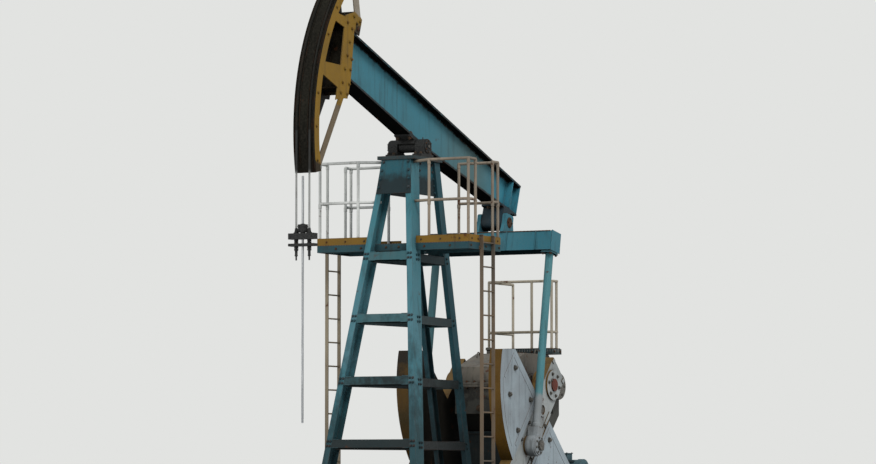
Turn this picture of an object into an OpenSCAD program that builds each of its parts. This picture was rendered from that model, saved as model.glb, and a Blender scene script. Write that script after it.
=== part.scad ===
// Pumpjack with a three-metre front arm, seen at rest with the head raised.
// +X points to the well, +Y to the near side, +Z up. The origin lies on the ground under the beam's pivot.

/* [Stance] */
// Height of the beam's pivot above the ground
pivot_z = 5400; // [5000:10:5800]
// Tilt of the walking beam at rest, head up
beam_tilt = 19; // [15:0.5:22]
// Distance from the pivot to the well's axis, which is the rope's radius on the head
well_arm = 3000; // [2900:10:3100]
// Distance from the pivot to the tail pin
tail_arm = 2800; // [2700:10:2900]
// Lean of the pitmans at rest, lower ends forward
pitman_lean = 9.97; // [8:0.01:12]

/* [Base frame] */
// Height of the base beams
base_h = 400; // [360:10:420]
// Flange width of the base beams
base_w = 150; // [120:5:180]
// Flange thickness of the base beams
base_flange = 22; // [14:1:28]
// Web thickness of the base beams
base_web = 14; // [10:1:24]
// Distance from the middle to each base rail's middle
rail_y = 420; // [400:5:440]
// Front end of the rails
rail_front_x = 1600; // [1500:10:1800]
// Rear end of the rails
rail_rear_x = -5600; // [-5800:10:-5500]
// Width of the sill beam under the front legs
sill_w = 340; // [320:10:360]
// Half the length of the sill beam under the front legs
sill_half = 950; // [900:10:1000]
// Radius of the anchor bolt holes
anchor_r = 17; // [13:1:20]
// Distance from the web's middle to the anchor holes
anchor_y = 46; // [40:1:50]

/* [Tower] */
// Depth of the tower's top under the beam's pivot
cap_drop = 200; // [190:5:250]
// Thickness of the cap plate
cap_t = 50; // [40:1:60]
// Front edge of the cap plate
cap_front_x = 410; // [380:5:450]
// Rear edge of the cap plate
cap_rear_x = -440; // [-480:5:-420]
// Half the width of the cap plate
cap_half = 290; // [275:5:320]
// Place of the front legs under the cap plate
front_top_x = 253; // [230:1:270]
// Forward run of the front legs for each unit of drop
front_run = 0.19; // [0.15:0.005:0.22]
// Half the distance between the front legs under the cap plate
front_top_y = 175; // [170:1:200]
// Sideways run of the front legs for each unit of drop
front_splay = 0.12; // [0.10:0.005:0.13]
// Depth of the front legs
front_depth = 250; // [220:5:260]
// Width of the front legs
front_width = 90; // [80:1:100]
// Place of the rear legs under the cap plate
rear_top_x = -338; // [-350:1:-320]
// Backward run of the rear legs for each unit of drop
rear_run = 0.233; // [0.2:0.001:0.25]
// Half the distance between the rear legs
rear_y = 220; // [200:1:240]
// Depth of the rear legs
rear_depth = 150; // [130:5:180]
// Width of the rear legs
rear_width = 70; // [60:1:80]
// Thickness of the legs' steel
leg_t = 14; // [8:1:20]
// Thickness of the foot plates
foot_t = 20; // [15:1:30]
// Height of the ties
tie_h = 115; // [90:5:130]
// Depth of the ties across the tower
tie_depth = 80; // [60:5:100]
// Thickness of the ties between front and rear legs
side_tie_t = 50; // [40:1:60]
// Height of the lowest tie's middle
tie_low_z = 1220; // [1100:10:1300]
// Rise from one tie to the next
tie_rise = 867; // [840:1:880]
// Number of tie levels
tie_levels = 4; // [3:1:4]
// Height of the gusset plates under the cap plate
gusset_h = 480; // [400:10:520]
// Thickness of the gusset plates
gusset_t = 12; // [8:1:16]

/* [Saddle] */
// Radius of the saddle shaft
saddle_r = 60; // [50:1:70]
// Inner face of each bearing block
block_in = 140; // [135:1:150]
// Outer face of each bearing block
block_out = 285; // [270:1:290]
// Half the length of a bearing block's foot
block_half = 180; // [150:5:200]
// Thickness of a bearing block's foot
block_foot = 40; // [30:1:45]
// Steel round the saddle shaft
block_wall = 45; // [35:1:50]

/* [Platform] */
// Height of the walking surface
deck_z = 4020; // [3980:5:4060]
// Thickness of the deck plate
deck_t = 5; // [4:1:8]
// Height of the edge channels
edge_h = 95; // [80:1:110]
// Thickness of the edge channels' steel
edge_t = 8; // [6:1:12]
// Width of the edge channels' flanges
edge_w = 45; // [35:1:60]
// Front edge of the platform
deck_front_x = 500; // [480:5:540]
// Rear edge of the platform
deck_rear_x = -450; // [-480:5:-430]
// Half the width of the platform
deck_half = 1200; // [1150:10:1250]
// Width of the two joists
joist_w = 60; // [50:5:80]
// Clearance round the legs in the deck plate
deck_gap = 8; // [5:1:15]
// Height of the toe boards
toe_h = 100; // [80:5:120]
// Thickness of the toe boards
toe_t = 6; // [4:1:8]

/* [Handrails and ladders] */
// Height of the top rail above the platform
handrail_h = 1150; // [1000:10:1200]
// Height of the middle rail above the platform
midrail_h = 590; // [500:10:700]
// Radius of the handrail tubes
tube_r = 20; // [16:1:24]
// Distance from the middle to the inner handrail posts
inner_post_y = 560; // [480:10:620]
// Half the width of the gap at each ladder
ladder_gap = 260; // [240:10:300]
// Distance between the middles of a ladder's stiles
ladder_w = 350; // [320:5:400]
// Depth of a stile, away from the platform
stile_d = 50; // [40:1:60]
// Thickness of a stile
stile_t = 16; // [10:1:25]
// Distance between rungs
rung_step = 335; // [300:5:350]
// Radius of a rung
rung_r = 11; // [9:1:13]
// Number of rungs
rung_count = 12; // [11:1:12]

/* [Gearbox] */
// Place of the crank shaft
shaft_x = -2890; // [-2950:5:-2850]
// Height of the crank shaft
shaft_z = 2120; // [2080:5:2150]
// Radius of the crank shaft
shaft_r = 90; // [80:1:100]
// Front end of the gearbox
gear_front_x = -2150; // [-2250:10:-2100]
// Rear end of the gearbox
gear_rear_x = -3950; // [-4000:10:-3900]
// Half the width of the gearbox
gear_half = 400; // [380:5:420]
// Underside of the gearbox
gear_low_z = 1450; // [1400:10:1500]
// Top of the gearbox cover
gear_top_z = 2590; // [2550:10:2620]
// Radius of the cover's front corner
cover_r = 430; // [350:10:440]
// Height over the joint where the cover's rear slope starts
cover_slope_z = 120; // [80:10:200]
// Length of the cover's rear slope
cover_slope_l = 350; // [250:10:400]
// Slope cut from the case's lower corners
case_cut = 250; // [150:10:280]
// Width of the joint flanges beyond the walls
joint_w = 35; // [25:1:45]
// Thickness of each joint flange
joint_t = 35; // [25:1:40]
// Radius of the shaft's bearing bosses
boss_r = 190; // [170:5:210]
// Length of the bearing bosses
boss_l = 70; // [50:5:80]
// Half the width of the pedestal
pedestal_half = 385; // [370:5:395]
// Inset of the pedestal from the gearbox's ends
pedestal_inset = 260; // [250:10:320]
// Thickness of the pedestal's walls
pedestal_t = 25; // [20:1:30]
// Thickness of the pedestal's top plate
pedestal_top = 40; // [30:1:50]

/* [Drive] */
// Place of the gearbox's input shaft
input_x = -3720; // [-3750:5:-3700]
// Radius of the driven pulley
pulley_r = 400; // [360:5:410]
// Inner face of the pulleys
pulley_in = 450; // [440:5:460]
// Width of the pulleys
pulley_w = 90; // [80:1:100]
// Radius of the motor's pulley
motor_pulley_r = 95; // [80:1:110]
// Thickness of the belts
belt_t = 13; // [10:1:16]
// Radius of the brake drum
brake_r = 190; // [170:5:210]
// Width of the brake drum
brake_w = 80; // [60:5:90]
// Radius of the input shaft
input_r = 38; // [30:1:45]
// Place of the motor
motor_x = -4950; // [-5000:10:-4900]
// Height of the motor's shaft above its rails
motor_h = 265; // [240:5:290]
// Radius of the motor's body
motor_r = 190; // [170:5:210]
// Half the length of the motor's body
motor_half = 290; // [250:5:320]
// Radius of the motor's shaft
motor_shaft_r = 28; // [22:1:35]
// Height of the motor's cross bearers
bearer_h = 120; // [100:5:140]
// Height of the motor's slide rails
slide_h = 70; // [60:5:90]
// Half the distance between the slide rails
slide_y = 170; // [150:5:190]
// Half the length of the slide rails
slide_half = 330; // [300:10:360]
// Half the distance between the motor's cross bearers
bearer_half = 250; // [220:10:270]
// Flange width of the motor's bearers
bearer_w = 90; // [80:5:110]
// Flange width of the slide rails
slide_w = 70; // [60:5:80]
// Thickness of the bearers' and slide rails' steel
bearer_t = 12; // [8:1:14]
// Width of the guard's legs
guard_leg = 50; // [40:5:60]
// Clearance between the belts and the guard's rim
guard_gap = 40; // [30:1:50]
// Thickness of the guard's sheet
guard_t = 5; // [3:1:6]
// Clearance between the pulleys and the guard's side
guard_side_gap = 25; // [20:1:35]

/* [Service walkway] */
// Depth of the walkway's floor on the gearbox cover
walk_floor = 80; // [70:5:100]
// Front edge of the walkway
walk_front_x = -3450; // [-3480:10:-3400]
// Depth of the walkway's cross part
walk_d = 300; // [260:10:340]
// Rear edge of the walkway's landing
walk_rear_x = -4300; // [-4350:10:-4280]
// Far edge of the walkway
walk_far_y = -550; // [-570:5:-500]
// Near edge of the walkway
walk_near_y = 540; // [520:5:580]
// Inner edge of the landing
landing_y = -40; // [-100:5:0]
// Width of the walkway's posts
walk_post = 50; // [40:5:60]
// Shift of the walkway's middle rail post to the near side
walk_post_shift = 190; // [100:10:220]
// Height of the walkway's top rail
walk_rail_h = 1000; // [900:10:1100]
// Height of the walkway's low rail
walk_low_rail_h = 250; // [200:10:300]

/* [Walking beam] */
// Underside of the beam above the pivot's line
beam_low = 85; // [80:1:110]
// Depth of the beam
beam_h = 660; // [600:10:700]
// Width of the beam's flanges
beam_w = 250; // [230:5:260]
// Thickness of the beam's flanges
beam_flange = 28; // [20:1:35]
// Thickness of the beam's web
beam_web = 16; // [12:1:25]
// Front end of the beam
beam_front = 2230; // [2200:10:2250]
// Length of the beam behind the tail pin
beam_overhang = 380; // [350:5:420]
// Rise of the beam's underside at its tail
tail_rise = 180; // [140:5:200]
// Place behind the pivot where the underside starts to rise
taper_start = 300; // [280:10:340]
// Thickness of the web's stiffeners
stiffener_t = 14; // [10:1:18]

/* [Head] */
// Angle of the head's top end above the beam's line
head_up = 31.5; // [30:0.5:33]
// Angle of the head's bottom end below the beam's line
head_down = 30; // [29:0.5:31]
// Width of the head's face
face_w = 310; // [300:5:330]
// Thickness of the head's face
face_t = 20; // [14:1:25]
// Depth of the side frames' rim
rim_d = 140; // [120:5:150]
// Thickness of the side frames
side_t = 16; // [12:1:20]
// Inset of the side frames from the face's edges
side_inset = 6; // [4:1:12]
// Thickness of the head's back plate
back_t = 30; // [20:1:35]
// Bottom of the back plate under the beam's line
back_low = 200; // [180:10:220]
// Top of the back plate above the beam's line
back_high = 1030; // [1000:10:1080]
// Bottom of the hub plates under the beam's line
hub_low = 260; // [240:10:280]
// Bottom of the hub plates' outer corner under the beam's line
hub_heel = 345; // [320:5:360]
// Depth of the hub plates at their bottom, away from the beam
hub_low_d = 130; // [110:10:140]
// Depth of the hub plates over the arm
hub_mid_d = 160; // [150:10:170]
// Depth of the hub plates at their widest
hub_d = 260; // [240:10:280]
// Height of the hub plates at their widest above the beam's line
hub_shoulder = 850; // [830:10:870]
// Depth of the hub plates at their top
hub_top_d = 70; // [60:10:90]
// Top of the hub plates above the beam's line
hub_high = 1050; // [1035:5:1080]
// Reach of the plates' ears back over the beam
ear_reach = 150; // [120:5:180]
// Reach of the plates' lower ends back beside the beam
low_reach = 130; // [100:5:150]
// Half the depth of the middle arm, under and over its line
arm_half = 165; // [150:5:180]
// Bottom of the band over the arm, above the beam's line
band_low = 660; // [640:5:680]
// Top of the band over the arm, above the beam's line
band_high = 850; // [830:5:870]
// Depth of the band over the arm at its outer end
band_end_h = 115; // [100:5:125]
// Reach of the band over the arm from the back plate
band_reach = 540; // [520:10:560]
// Height of the upper struts' inner ends above the beam's line
strut_high = 960; // [940:10:980]
// Depth of the upper struts
strut_high_w = 150; // [120:5:170]
// Distance of the upper struts' lower ends behind the beam's front
strut_high_back = 35; // [20:5:60]
// Depth of the lower struts
strut_low_w = 105; // [90:5:115]
// Angle of the lower struts' outer ends under the beam's line
strut_low_a = 27.8; // [27:0.2:28]
// Distance of the lower struts' upper ends before the beam's front
strut_low_d = 10; // [0:5:30]
// Thickness of the cross plates between the side frames
head_web_t = 20; // [14:1:25]
// Height of the hinge block on the beam
hinge_h = 130; // [110:5:150]
// Length of the hinge block on the beam
hinge_l = 180; // [160:5:200]
// Width of the hinge block on the beam
hinge_w = 180; // [150:5:200]
// Depth of the rope anchor above the face
anchor_d = 60; // [50:5:80]
// Angle that the rope anchor takes of the head
anchor_a = 1.2; // [1:0.1:2]
// Radius of the ropes
rope_r = 15; // [12:1:18]
// Half the distance between the ropes
rope_y = 100; // [90:5:110]

/* [Equalizer and pitmans] */
// Radius of the tail pin
tail_pin_r = 45; // [40:1:50]
// Width of the tail bearing
tail_bearing_w = 340; // [320:5:350]
// Outer radius of the tail bearing
tail_bearing_r = 115; // [105:5:125]
// Length of the tail bearing's foot along the beam
tail_foot = 360; // [300:10:380]
// Thickness of the bearing foot's plate
tail_foot_t = 50; // [40:5:60]
// Thickness of the equalizer's lugs
lug_t = 60; // [50:1:65]
// Reach of the lugs over and beside the tail pin
lug_r = 120; // [110:5:125]
// Cut at the lugs' upper corners
lug_cut = 25; // [15:5:40]
// Half the width of the lugs on the equalizer
lug_foot = 170; // [150:5:180]
// Drop from the tail pin to the equalizer's middle
equalizer_drop = 310; // [290:5:330]
// Height and width of the equalizer
equalizer_s = 280; // [260:5:300]
// Half the length of the equalizer
equalizer_half = 1010; // [980:5:1040]
// Length from the tail pin to the crank pin
pitman_l = 3300; // [3250:5:3350]
// Distance from the middle to each pitman's middle
pitman_y = 925; // [915:1:935]
// Radius of the pitman tubes
pitman_r = 57; // [50:1:65]
// Outer radius of the crank pin bearings
pin_head_r = 150; // [130:5:170]
// Width of the crank pin bearings
pin_head_w = 150; // [130:5:155]
// Radius of the crank pins' outer ends
pin_r = 60; // [50:1:75]

/* [Cranks] */
// Throw of the crank pins
crank_r = 1200; // [1150:5:1220]
// Angle of the cranks at rest, measured up from the well's side
crank_angle = -47.3; // [-48:0.1:-46]
// Width of the cranks
crank_w = 480; // [440:10:520]
// Inner face of the cranks
crank_in = 645; // [635:5:660]
// Thickness of the cranks
crank_t = 160; // [140:5:175]
// Length of the cranks behind the shaft
crank_butt = 330; // [300:10:360]
// Length of the cranks from the shaft to the tip
crank_tip = 1800; // [1700:10:1820]
// Outer radius of the counterweights
weight_r = 1725; // [1650:5:1750]
// Start of the counterweights along the crank
weight_start = 490; // [450:10:520]
// Half the span of a pair of weights across the crank
weight_side = 1650; // [1600:10:1660]
// Place across the crank where the cut corner starts
weight_corner = 1250; // [1200:10:1300]
// Length of the cut corner along the crank
weight_cut = 390; // [350:10:430]
// Thickness of the counterweights
weight_t = 190; // [170:5:190]
// Clearance at the open pivot between crank boss and pin bearing
open_gap = 5; // [5:1:8]

/* [Hanger and polished rod] */
// Height of the upper bar's middle
upper_bar_z = 3980; // [3950:5:4000]
// Height of the lower bar's middle
lower_bar_z = 3865; // [3850:5:3880]
// Height of the upper hanger bar
bar_h = 80; // [70:1:90]
// Height of the lower hanger bar
lower_bar_h = 36; // [30:1:45]
// Length of the hanger bars
bar_l = 390; // [360:5:420]
// Width of the hanger bars
bar_w = 110; // [90:5:130]
// Radius of the polished rod
rod_r = 16; // [14:1:20]
// Lower end of the polished rod at rest
rod_low_z = 1500; // [1400:10:1600]
// Radius of the rod's threaded end
thread_r = 14; // [12:1:15]
// Length of the rod's threaded end
thread_l = 60; // [50:5:80]
// Upper end of the polished rod at rest
rod_high_z = 4280; // [4200:10:4300]
// Radius of the rod clamp
clamp_r = 32; // [28:1:40]
// Height of the rod clamp
clamp_h = 125; // [100:5:150]
// Radius of the rope sockets
socket_r = 19; // [17:1:24]
// Length of the rope sockets below the lower bar
socket_l = 150; // [120:5:170]

/* [Hidden] */
$fn = 64;
tiny = 0.3;
gap_run = 0.3;
big = 9000;
blue = "#3f6f7d";
dull_blue = "#2c4248";
yellow = "#8a6420";
grey_paint = "#9aa0a0";
tan_paint = "#8a8074";
rail_paint = "#a8a6a2";
dark_steel = "#2f3130";
front_lean = atan(front_run);
rear_lean = atan(rear_run);
foot_z = base_h + foot_t;
cap_z = pivot_z - cap_drop;
cap_top = cap_z + cap_t;
tail_x = -tail_arm * cos(beam_tilt);
tail_z = pivot_z - tail_arm * sin(beam_tilt);
ring_z = tie_low_z + (tie_levels - 1) * tie_rise;
walk_z = gear_top_z + walk_floor;
frame_top = deck_z - deck_t;
rear_foot_x = rear_top_x - rear_run * (cap_z - base_h);
front_foot_x = front_top_x + front_run * (cap_z - base_h);
slide_top = base_h + bearer_h + slide_h;
motor_z = slide_top + motor_h;
post_x = walk_rear_x + walk_post;
face_r = well_arm - rope_r - tiny;
face_in = face_r - face_t;
head_back = beam_front + back_t;
beam_top = beam_low + beam_h;
weight_in = crank_in;
crank_face = weight_in + weight_t;
pin_head_in = crank_face + open_gap;
clamp_z = upper_bar_z + bar_h / 2;
anchor_front = [300, 1400];
anchor_rear = [-5300, -4500];
cross_x = [rail_front_x - base_w / 2, 0, rear_foot_x, -2480, -3690, post_x, motor_x + bearer_half, rail_rear_x + base_w / 2];

// Sections and placing

module i_section(h, w, flange, web) {
    translate([-w / 2, 0]) square([w, flange]);
    translate([-w / 2, h - flange]) square([w, flange]);
    translate([-web / 2, 0]) square([web, h]);
}

// Extrudes an outline of (Y, Z) points along +X
module along_x(l) {
    rotate([90, 0, 90]) linear_extrude(l) children();
}

// Extrudes an outline of (X, Z) points along +Y
module along_y(l) {
    translate([0, l, 0]) rotate([90, 0, 0]) linear_extrude(l) children();
}

module block(low, high) {
    translate(low) cube(high - low);
}

module rod_y(x, z, r, y0, y1) {
    translate([x, y0, z]) along_y(y1 - y0) circle(r);
}

module tube_between(a, b, r) {
    d = b - a;
    l = norm(d);
    turn = atan2(d[1], d[0]);
    translate(a) rotate([0, acos(d[2] / l), turn]) cylinder(h = l, r = r);
}

module both_sides() {
    children();
    mirror([0, 1, 0]) children();
}

// Moves what is drawn in the beam's own line, with the pivot at its origin, to the resting beam
module on_beam() {
    translate([0, 0, pivot_z]) rotate([0, -beam_tilt, 0]) children();
}

// Moves what is drawn with the tail pin at its origin and the pitmans hanging down
module on_pitman() {
    translate([tail_x, 0, tail_z]) rotate([0, -pitman_lean, 0]) children();
}

// Moves what is drawn with the crank along +X and the shaft at its origin
module on_crank() {
    translate([shaft_x, 0, shaft_z]) rotate([0, -crank_angle, 0]) children();
}

// The four-sided outline between the tangent points of two circles
function tangent_quad(a, ra, b, rb) =
    let (d = norm(b - a), turn = atan2(b[1] - a[1], b[0] - a[0]), open = acos((ra - rb) / d))
    [
        a + ra * [cos(turn + open), sin(turn + open)],
        a + ra * [cos(turn - open), sin(turn - open)],
        b + rb * [cos(turn - open), sin(turn - open)],
        b + rb * [cos(turn + open), sin(turn + open)]
    ];

// The outline of a loop round two circles
module loop_outline(a, ra, b, rb) {
    translate(a) circle(ra, $fn = 96);
    translate(b) circle(rb, $fn = 96);
    polygon(tangent_quad(a, ra, b, rb));
}

// Base frame

module base_rails() {
    color(dull_blue) both_sides() difference() {
        translate([rail_rear_x, rail_y, 0]) along_x(rail_front_x - rail_rear_x)
            i_section(base_h, base_w, base_flange, base_web);
        for (x = concat(anchor_front, anchor_rear))
            translate([x, rail_y + anchor_y, -1]) cylinder(h = base_flange + 2, r = anchor_r);
    }
}

module cross_beam(x, w, y0, y1) {
    translate([x, y0, 0]) along_y(y1 - y0) i_section(base_h, w, base_flange, base_web);
}

module base_cross_beams() {
    inner = rail_y - base_w / 2;
    outer = rail_y + base_w / 2;
    color(dull_blue) {
        for (x = cross_x) cross_beam(x, base_w, -inner, inner);
        cross_beam(front_foot_x, sill_w, -inner, inner);
        both_sides() cross_beam(front_foot_x, sill_w, outer, sill_half);
    }
}

module gearbox_pedestal() {
    x0 = gear_rear_x + pedestal_inset;
    x1 = gear_front_x - pedestal_inset;
    z1 = gear_low_z - pedestal_top;
    color(dull_blue) difference() {
        union() {
            block([x0, -pedestal_half, base_h], [x1, pedestal_half, z1]);
            block([x0 - 40, -pedestal_half - 15, z1], [x1 + 40, pedestal_half + 15, gear_low_z]);
        }
        block([x0 + pedestal_t, -pedestal_half + pedestal_t, base_h - 1],
            [x1 - pedestal_t, pedestal_half - pedestal_t, z1]);
    }
}

// Tower

// Moves what is drawn in the front legs' plane, with Z along their slope, under the cap plate
module front_plane() {
    translate([front_top_x, 0, cap_z]) rotate([0, -front_lean, 0]) children();
}

// Moves what is drawn in the rear legs' plane, with Z along their slope, under the cap plate
module rear_plane() {
    translate([rear_top_x, 0, cap_z]) rotate([0, rear_lean, 0]) children();
}

// Distance from the middle to a front leg's middle, at a place along the slope
function front_y(s) = front_top_y - front_splay * cos(front_lean) * s;
// Place along the front slope of a height
function front_s(z) = (z - cap_z) / cos(front_lean);
// Place along the rear slope of a height
function rear_s(z) = (z - cap_z) / cos(rear_lean);

// Place of the front legs' rear face at a height
function front_leg_x(z) = front_top_x + front_run * (cap_z - z) - front_depth / 2 / cos(front_lean);
// Place of the rear legs' front face at a height
function rear_leg_x(z) = rear_top_x - rear_run * (cap_z - z) + rear_depth / 2 / cos(rear_lean);

// A strip of the near front leg, between two offsets from its middle and two depths
module front_strip(o0, o1, n0, n1) {
    s0 = front_s(0);
    s1 = front_s(cap_z + 300);
    translate([n0, 0, 0]) along_x(n1 - n0)
        polygon([[front_y(s0) + o0, s0], [front_y(s0) + o1, s0], [front_y(s1) + o1, s1], [front_y(s1) + o0, s1]]);
}

module rear_strip(o0, o1, n0, n1) {
    block([n0, rear_y + o0, rear_s(0)], [n1, rear_y + o1, rear_s(cap_z + 300)]);
}

module front_leg_envelope() {
    both_sides() front_plane()
        front_strip(-front_width / 2, front_width / 2, -front_depth / 2, front_depth / 2);
}

module rear_leg_envelope() {
    both_sides() rear_plane()
        rear_strip(-rear_width / 2, rear_width / 2, -rear_depth / 2, rear_depth / 2);
}

module leg_span() {
    block([-big, -big, foot_z], [big, big, cap_z]);
}

module tower_front_legs() {
    w = front_width / 2;
    d = front_depth / 2;
    color(blue) both_sides() {
        intersection() {
            leg_span();
            front_plane() {
                front_strip(w - leg_t, w, -d, d);
                front_strip(-w, w, d - leg_t, d);
                front_strip(-w, w, -d, leg_t - d);
            }
        }
        translate([front_foot_x, front_y(front_s(base_h)), base_h])
            block([-sill_w / 2, -w - 60, 0], [sill_w / 2, w + 40, foot_t]);
    }
}

module tower_rear_legs() {
    w = rear_width / 2;
    d = rear_depth / 2;
    color(blue) both_sides() {
        intersection() {
            leg_span();
            rear_plane() {
                rear_strip(w - leg_t, w, -d, d);
                rear_strip(-w, w, d - leg_t, d);
                rear_strip(-w, w, -d, leg_t - d);
            }
        }
        translate([rear_foot_x, rear_y, base_h]) block([-d, -w - 20, 0], [d, w + 20, foot_t]);
    }
}

// A channel between two legs, with its web at depth n1 and its flanges reaching back
module cross_tie(s, half_at_s, half_slope, n1) {
    h = tie_h / 2;
    module face(a, b, n0) {
        translate([n0, 0, 0]) along_x(n1 - n0) polygon([
            [-half_at_s + half_slope * a, s + a], [half_at_s - half_slope * a, s + a],
            [half_at_s - half_slope * b, s + b], [-half_at_s + half_slope * b, s + b]
        ]);
    }
    face(-h, h, n1 - leg_t);
    face(-h, leg_t - h, n1 - tie_depth);
    face(h - leg_t, h, n1 - tie_depth);
}

module side_tie(z) {
    s = front_s(z);
    a = [front_top_x + front_run * (cap_z - z), front_y(s) - front_width / 4, z];
    b = [rear_top_x - rear_run * (cap_z - z), rear_y, z];
    turn = atan2(b[1] - a[1], b[0] - a[0]);
    translate(a) rotate([0, 0, turn])
        block([0, -side_tie_t / 2, -tie_h / 2], [norm(b - a), side_tie_t / 2, tie_h / 2]);
}

module tower_ties() {
    slope = front_splay * cos(front_lean);
    color(blue) difference() {
        for (i = [0 : tie_levels - 1]) {
            z = tie_low_z + i * tie_rise;
            s = front_s(z);
            front_plane() cross_tie(s, front_y(s) - front_width / 2, slope, front_depth / 2);
            rear_plane() mirror([1, 0, 0]) cross_tie(rear_s(z), rear_y - rear_width / 2, 0, rear_depth / 2);
            both_sides() side_tie(z);
        }
        front_leg_envelope();
        rear_leg_envelope();
    }
}

module tower_gussets() {
    low = cap_z - gusset_h;
    color(blue) {
        intersection() {
            block([-big, -big, low], [big, big, cap_z]);
            front_plane() translate([front_depth / 2, 0, 0]) along_x(gusset_t) polygon([
                [-front_y(front_s(low)) - front_width / 2, front_s(low) - 100],
                [front_y(front_s(low)) + front_width / 2, front_s(low) - 100],
                [front_top_y + front_width / 2, 100],
                [-front_top_y - front_width / 2, 100]
            ]);
        }
        both_sides() translate([0, rear_y - gusset_t, 0]) along_y(gusset_t) polygon([
            [rear_leg_x(low), low], [front_leg_x(low), low],
            [front_leg_x(cap_z), cap_z], [rear_leg_x(cap_z), cap_z]
        ]);
    }
}

module tower_cap() {
    color(blue) block([cap_rear_x, -cap_half, cap_z], [cap_front_x, cap_half, cap_top]);
}

module saddle_bearings() {
    drop = pivot_z - cap_top;
    color(dark_steel) both_sides() translate([0, block_in, pivot_z]) difference() {
        along_y(block_out - block_in) {
            circle(saddle_r + block_wall);
            translate([-saddle_r - block_wall, -drop]) square([2 * (saddle_r + block_wall), drop]);
            translate([-block_half, -drop]) square([2 * block_half, block_foot]);
        }
        translate([0, -1, 0]) along_y(block_out - block_in + 2) circle(saddle_r + gap_run);
    }
}

// Platform round the tower

module edge_channel(l) {
    square([edge_t, edge_h]);
    square([edge_w, edge_t]);
    translate([0, edge_h - edge_t]) square([edge_w, edge_t]);
}

module platform_frame() {
    low = frame_top - edge_h;
    joist_low = ring_z + tie_h / 2;
    color(blue) difference() {
        union() {
            both_sides() translate([deck_rear_x, -deck_half, low])
                along_x(deck_front_x - deck_rear_x) edge_channel();
            translate([deck_rear_x, -deck_half, low]) along_y(2 * deck_half) edge_channel();
            translate([deck_front_x, -deck_half, low]) mirror([1, 0, 0]) along_y(2 * deck_half) edge_channel();
            for (x = [deck_rear_x + edge_w + 20, deck_front_x - 330])
                block([x, -deck_half + edge_t, low], [x + joist_w, deck_half - edge_t, frame_top]);
            both_sides() for (x = [deck_rear_x + edge_w + 20, deck_front_x - 330])
                block([x, rear_y - 100, joist_low], [x + joist_w, rear_y + 140, low]);
        }
        front_leg_envelope();
        rear_leg_envelope();
    }
}

module platform_deck() {
    color(dull_blue) difference() {
        block([deck_rear_x, -deck_half, frame_top], [deck_front_x, deck_half, deck_z]);
        both_sides() front_plane() front_strip(-front_width / 2 - deck_gap, front_width / 2 + deck_gap,
            -front_depth / 2 - deck_gap, big);
    }
}

module toe_boards() {
    inner = front_y(front_s(deck_z)) + front_width / 2 + deck_gap;
    color(yellow) both_sides() {
        block([deck_front_x - toe_t, inner, deck_z], [deck_front_x, deck_half, deck_z + toe_h]);
        block([deck_rear_x, deck_half - toe_t, deck_z], [deck_front_x, deck_half, deck_z + toe_h]);
        block([deck_rear_x, inner, deck_z], [deck_rear_x + toe_t, deck_half, deck_z + toe_h]);
    }
}

module rail_run(points, z, r) {
    for (i = [0 : len(points) - 2]) {
        tube_between([points[i][0], points[i][1], z], [points[i + 1][0], points[i + 1][1], z], r);
        translate([points[i + 1][0], points[i + 1][1], z]) sphere(r);
    }
}

module rail_posts(points, z0, z1, r) {
    for (p = points) {
        translate([p[0], p[1], z0]) cylinder(h = z1 - z0, r = r);
        translate([p[0], p[1], z1]) sphere(r);
    }
}

module platform_handrails() {
    inset = tube_r + toe_t + 2;
    x0 = deck_rear_x + inset;
    x1 = deck_front_x - inset;
    y1 = deck_half - inset;
    front_run_points = [[x1, inner_post_y], [x1, y1], [ladder_gap, y1]];
    rear_run_points = [[x0, inner_post_y], [x0, y1], [-ladder_gap, y1]];
    color(rail_paint) both_sides() for (run = [front_run_points, rear_run_points]) {
        rail_posts(run, deck_z, deck_z + handrail_h, tube_r);
        rail_run(run, deck_z + handrail_h, tube_r);
        rail_run(run, deck_z + midrail_h, tube_r);
    }
}

module ladder_stiles() {
    color(tan_paint) both_sides() for (x = [-ladder_w / 2, ladder_w / 2])
        block([x - stile_t / 2, deck_half, 0], [x + stile_t / 2, deck_half + stile_d, deck_z + toe_h]);
}

module ladder_rungs() {
    half = (ladder_w - stile_t) / 2;
    color(tan_paint) both_sides() for (i = [1 : rung_count])
        translate([-half, deck_half + stile_d / 2, i * rung_step]) along_x(2 * half) circle(rung_r);
}

// Gearbox and drive

module shaft_notch() {
    rod_y(shaft_x, shaft_z, shaft_r + gap_run, -gear_half - boss_l - 1, gear_half + boss_l + 1);
}

module gearbox_case() {
    color(dull_blue) difference() {
        union() {
            translate([0, -gear_half, 0]) along_y(2 * gear_half) polygon([
                [gear_front_x, shaft_z], [gear_front_x, gear_low_z + case_cut],
                [gear_front_x - case_cut, gear_low_z], [gear_rear_x + case_cut, gear_low_z],
                [gear_rear_x, gear_low_z + case_cut], [gear_rear_x, shaft_z]
            ]);
            block([gear_rear_x - joint_w, -gear_half - joint_w, shaft_z - joint_t],
                [gear_front_x + joint_w, gear_half + joint_w, shaft_z]);
            intersection() {
                rod_y(shaft_x, shaft_z, boss_r, -gear_half - boss_l, gear_half + boss_l);
                block([-big, -big, 0], [big, big, shaft_z]);
            }
        }
        shaft_notch();
    }
}

module cover_outline() {
    difference() {
        union() {
            translate([gear_rear_x, shaft_z])
                square([gear_front_x - cover_r - gear_rear_x, gear_top_z - shaft_z]);
            translate([gear_front_x - cover_r, gear_top_z - cover_r]) circle(cover_r);
            translate([gear_front_x - cover_r, shaft_z]) square([cover_r, gear_top_z - cover_r - shaft_z]);
        }
        translate([-big, 0]) square([2 * big, shaft_z]);
        polygon([
            [gear_rear_x - 1, shaft_z + cover_slope_z], [gear_rear_x + cover_slope_l, gear_top_z + 1],
            [gear_rear_x - 1, gear_top_z + 1]
        ]);
    }
}

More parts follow.
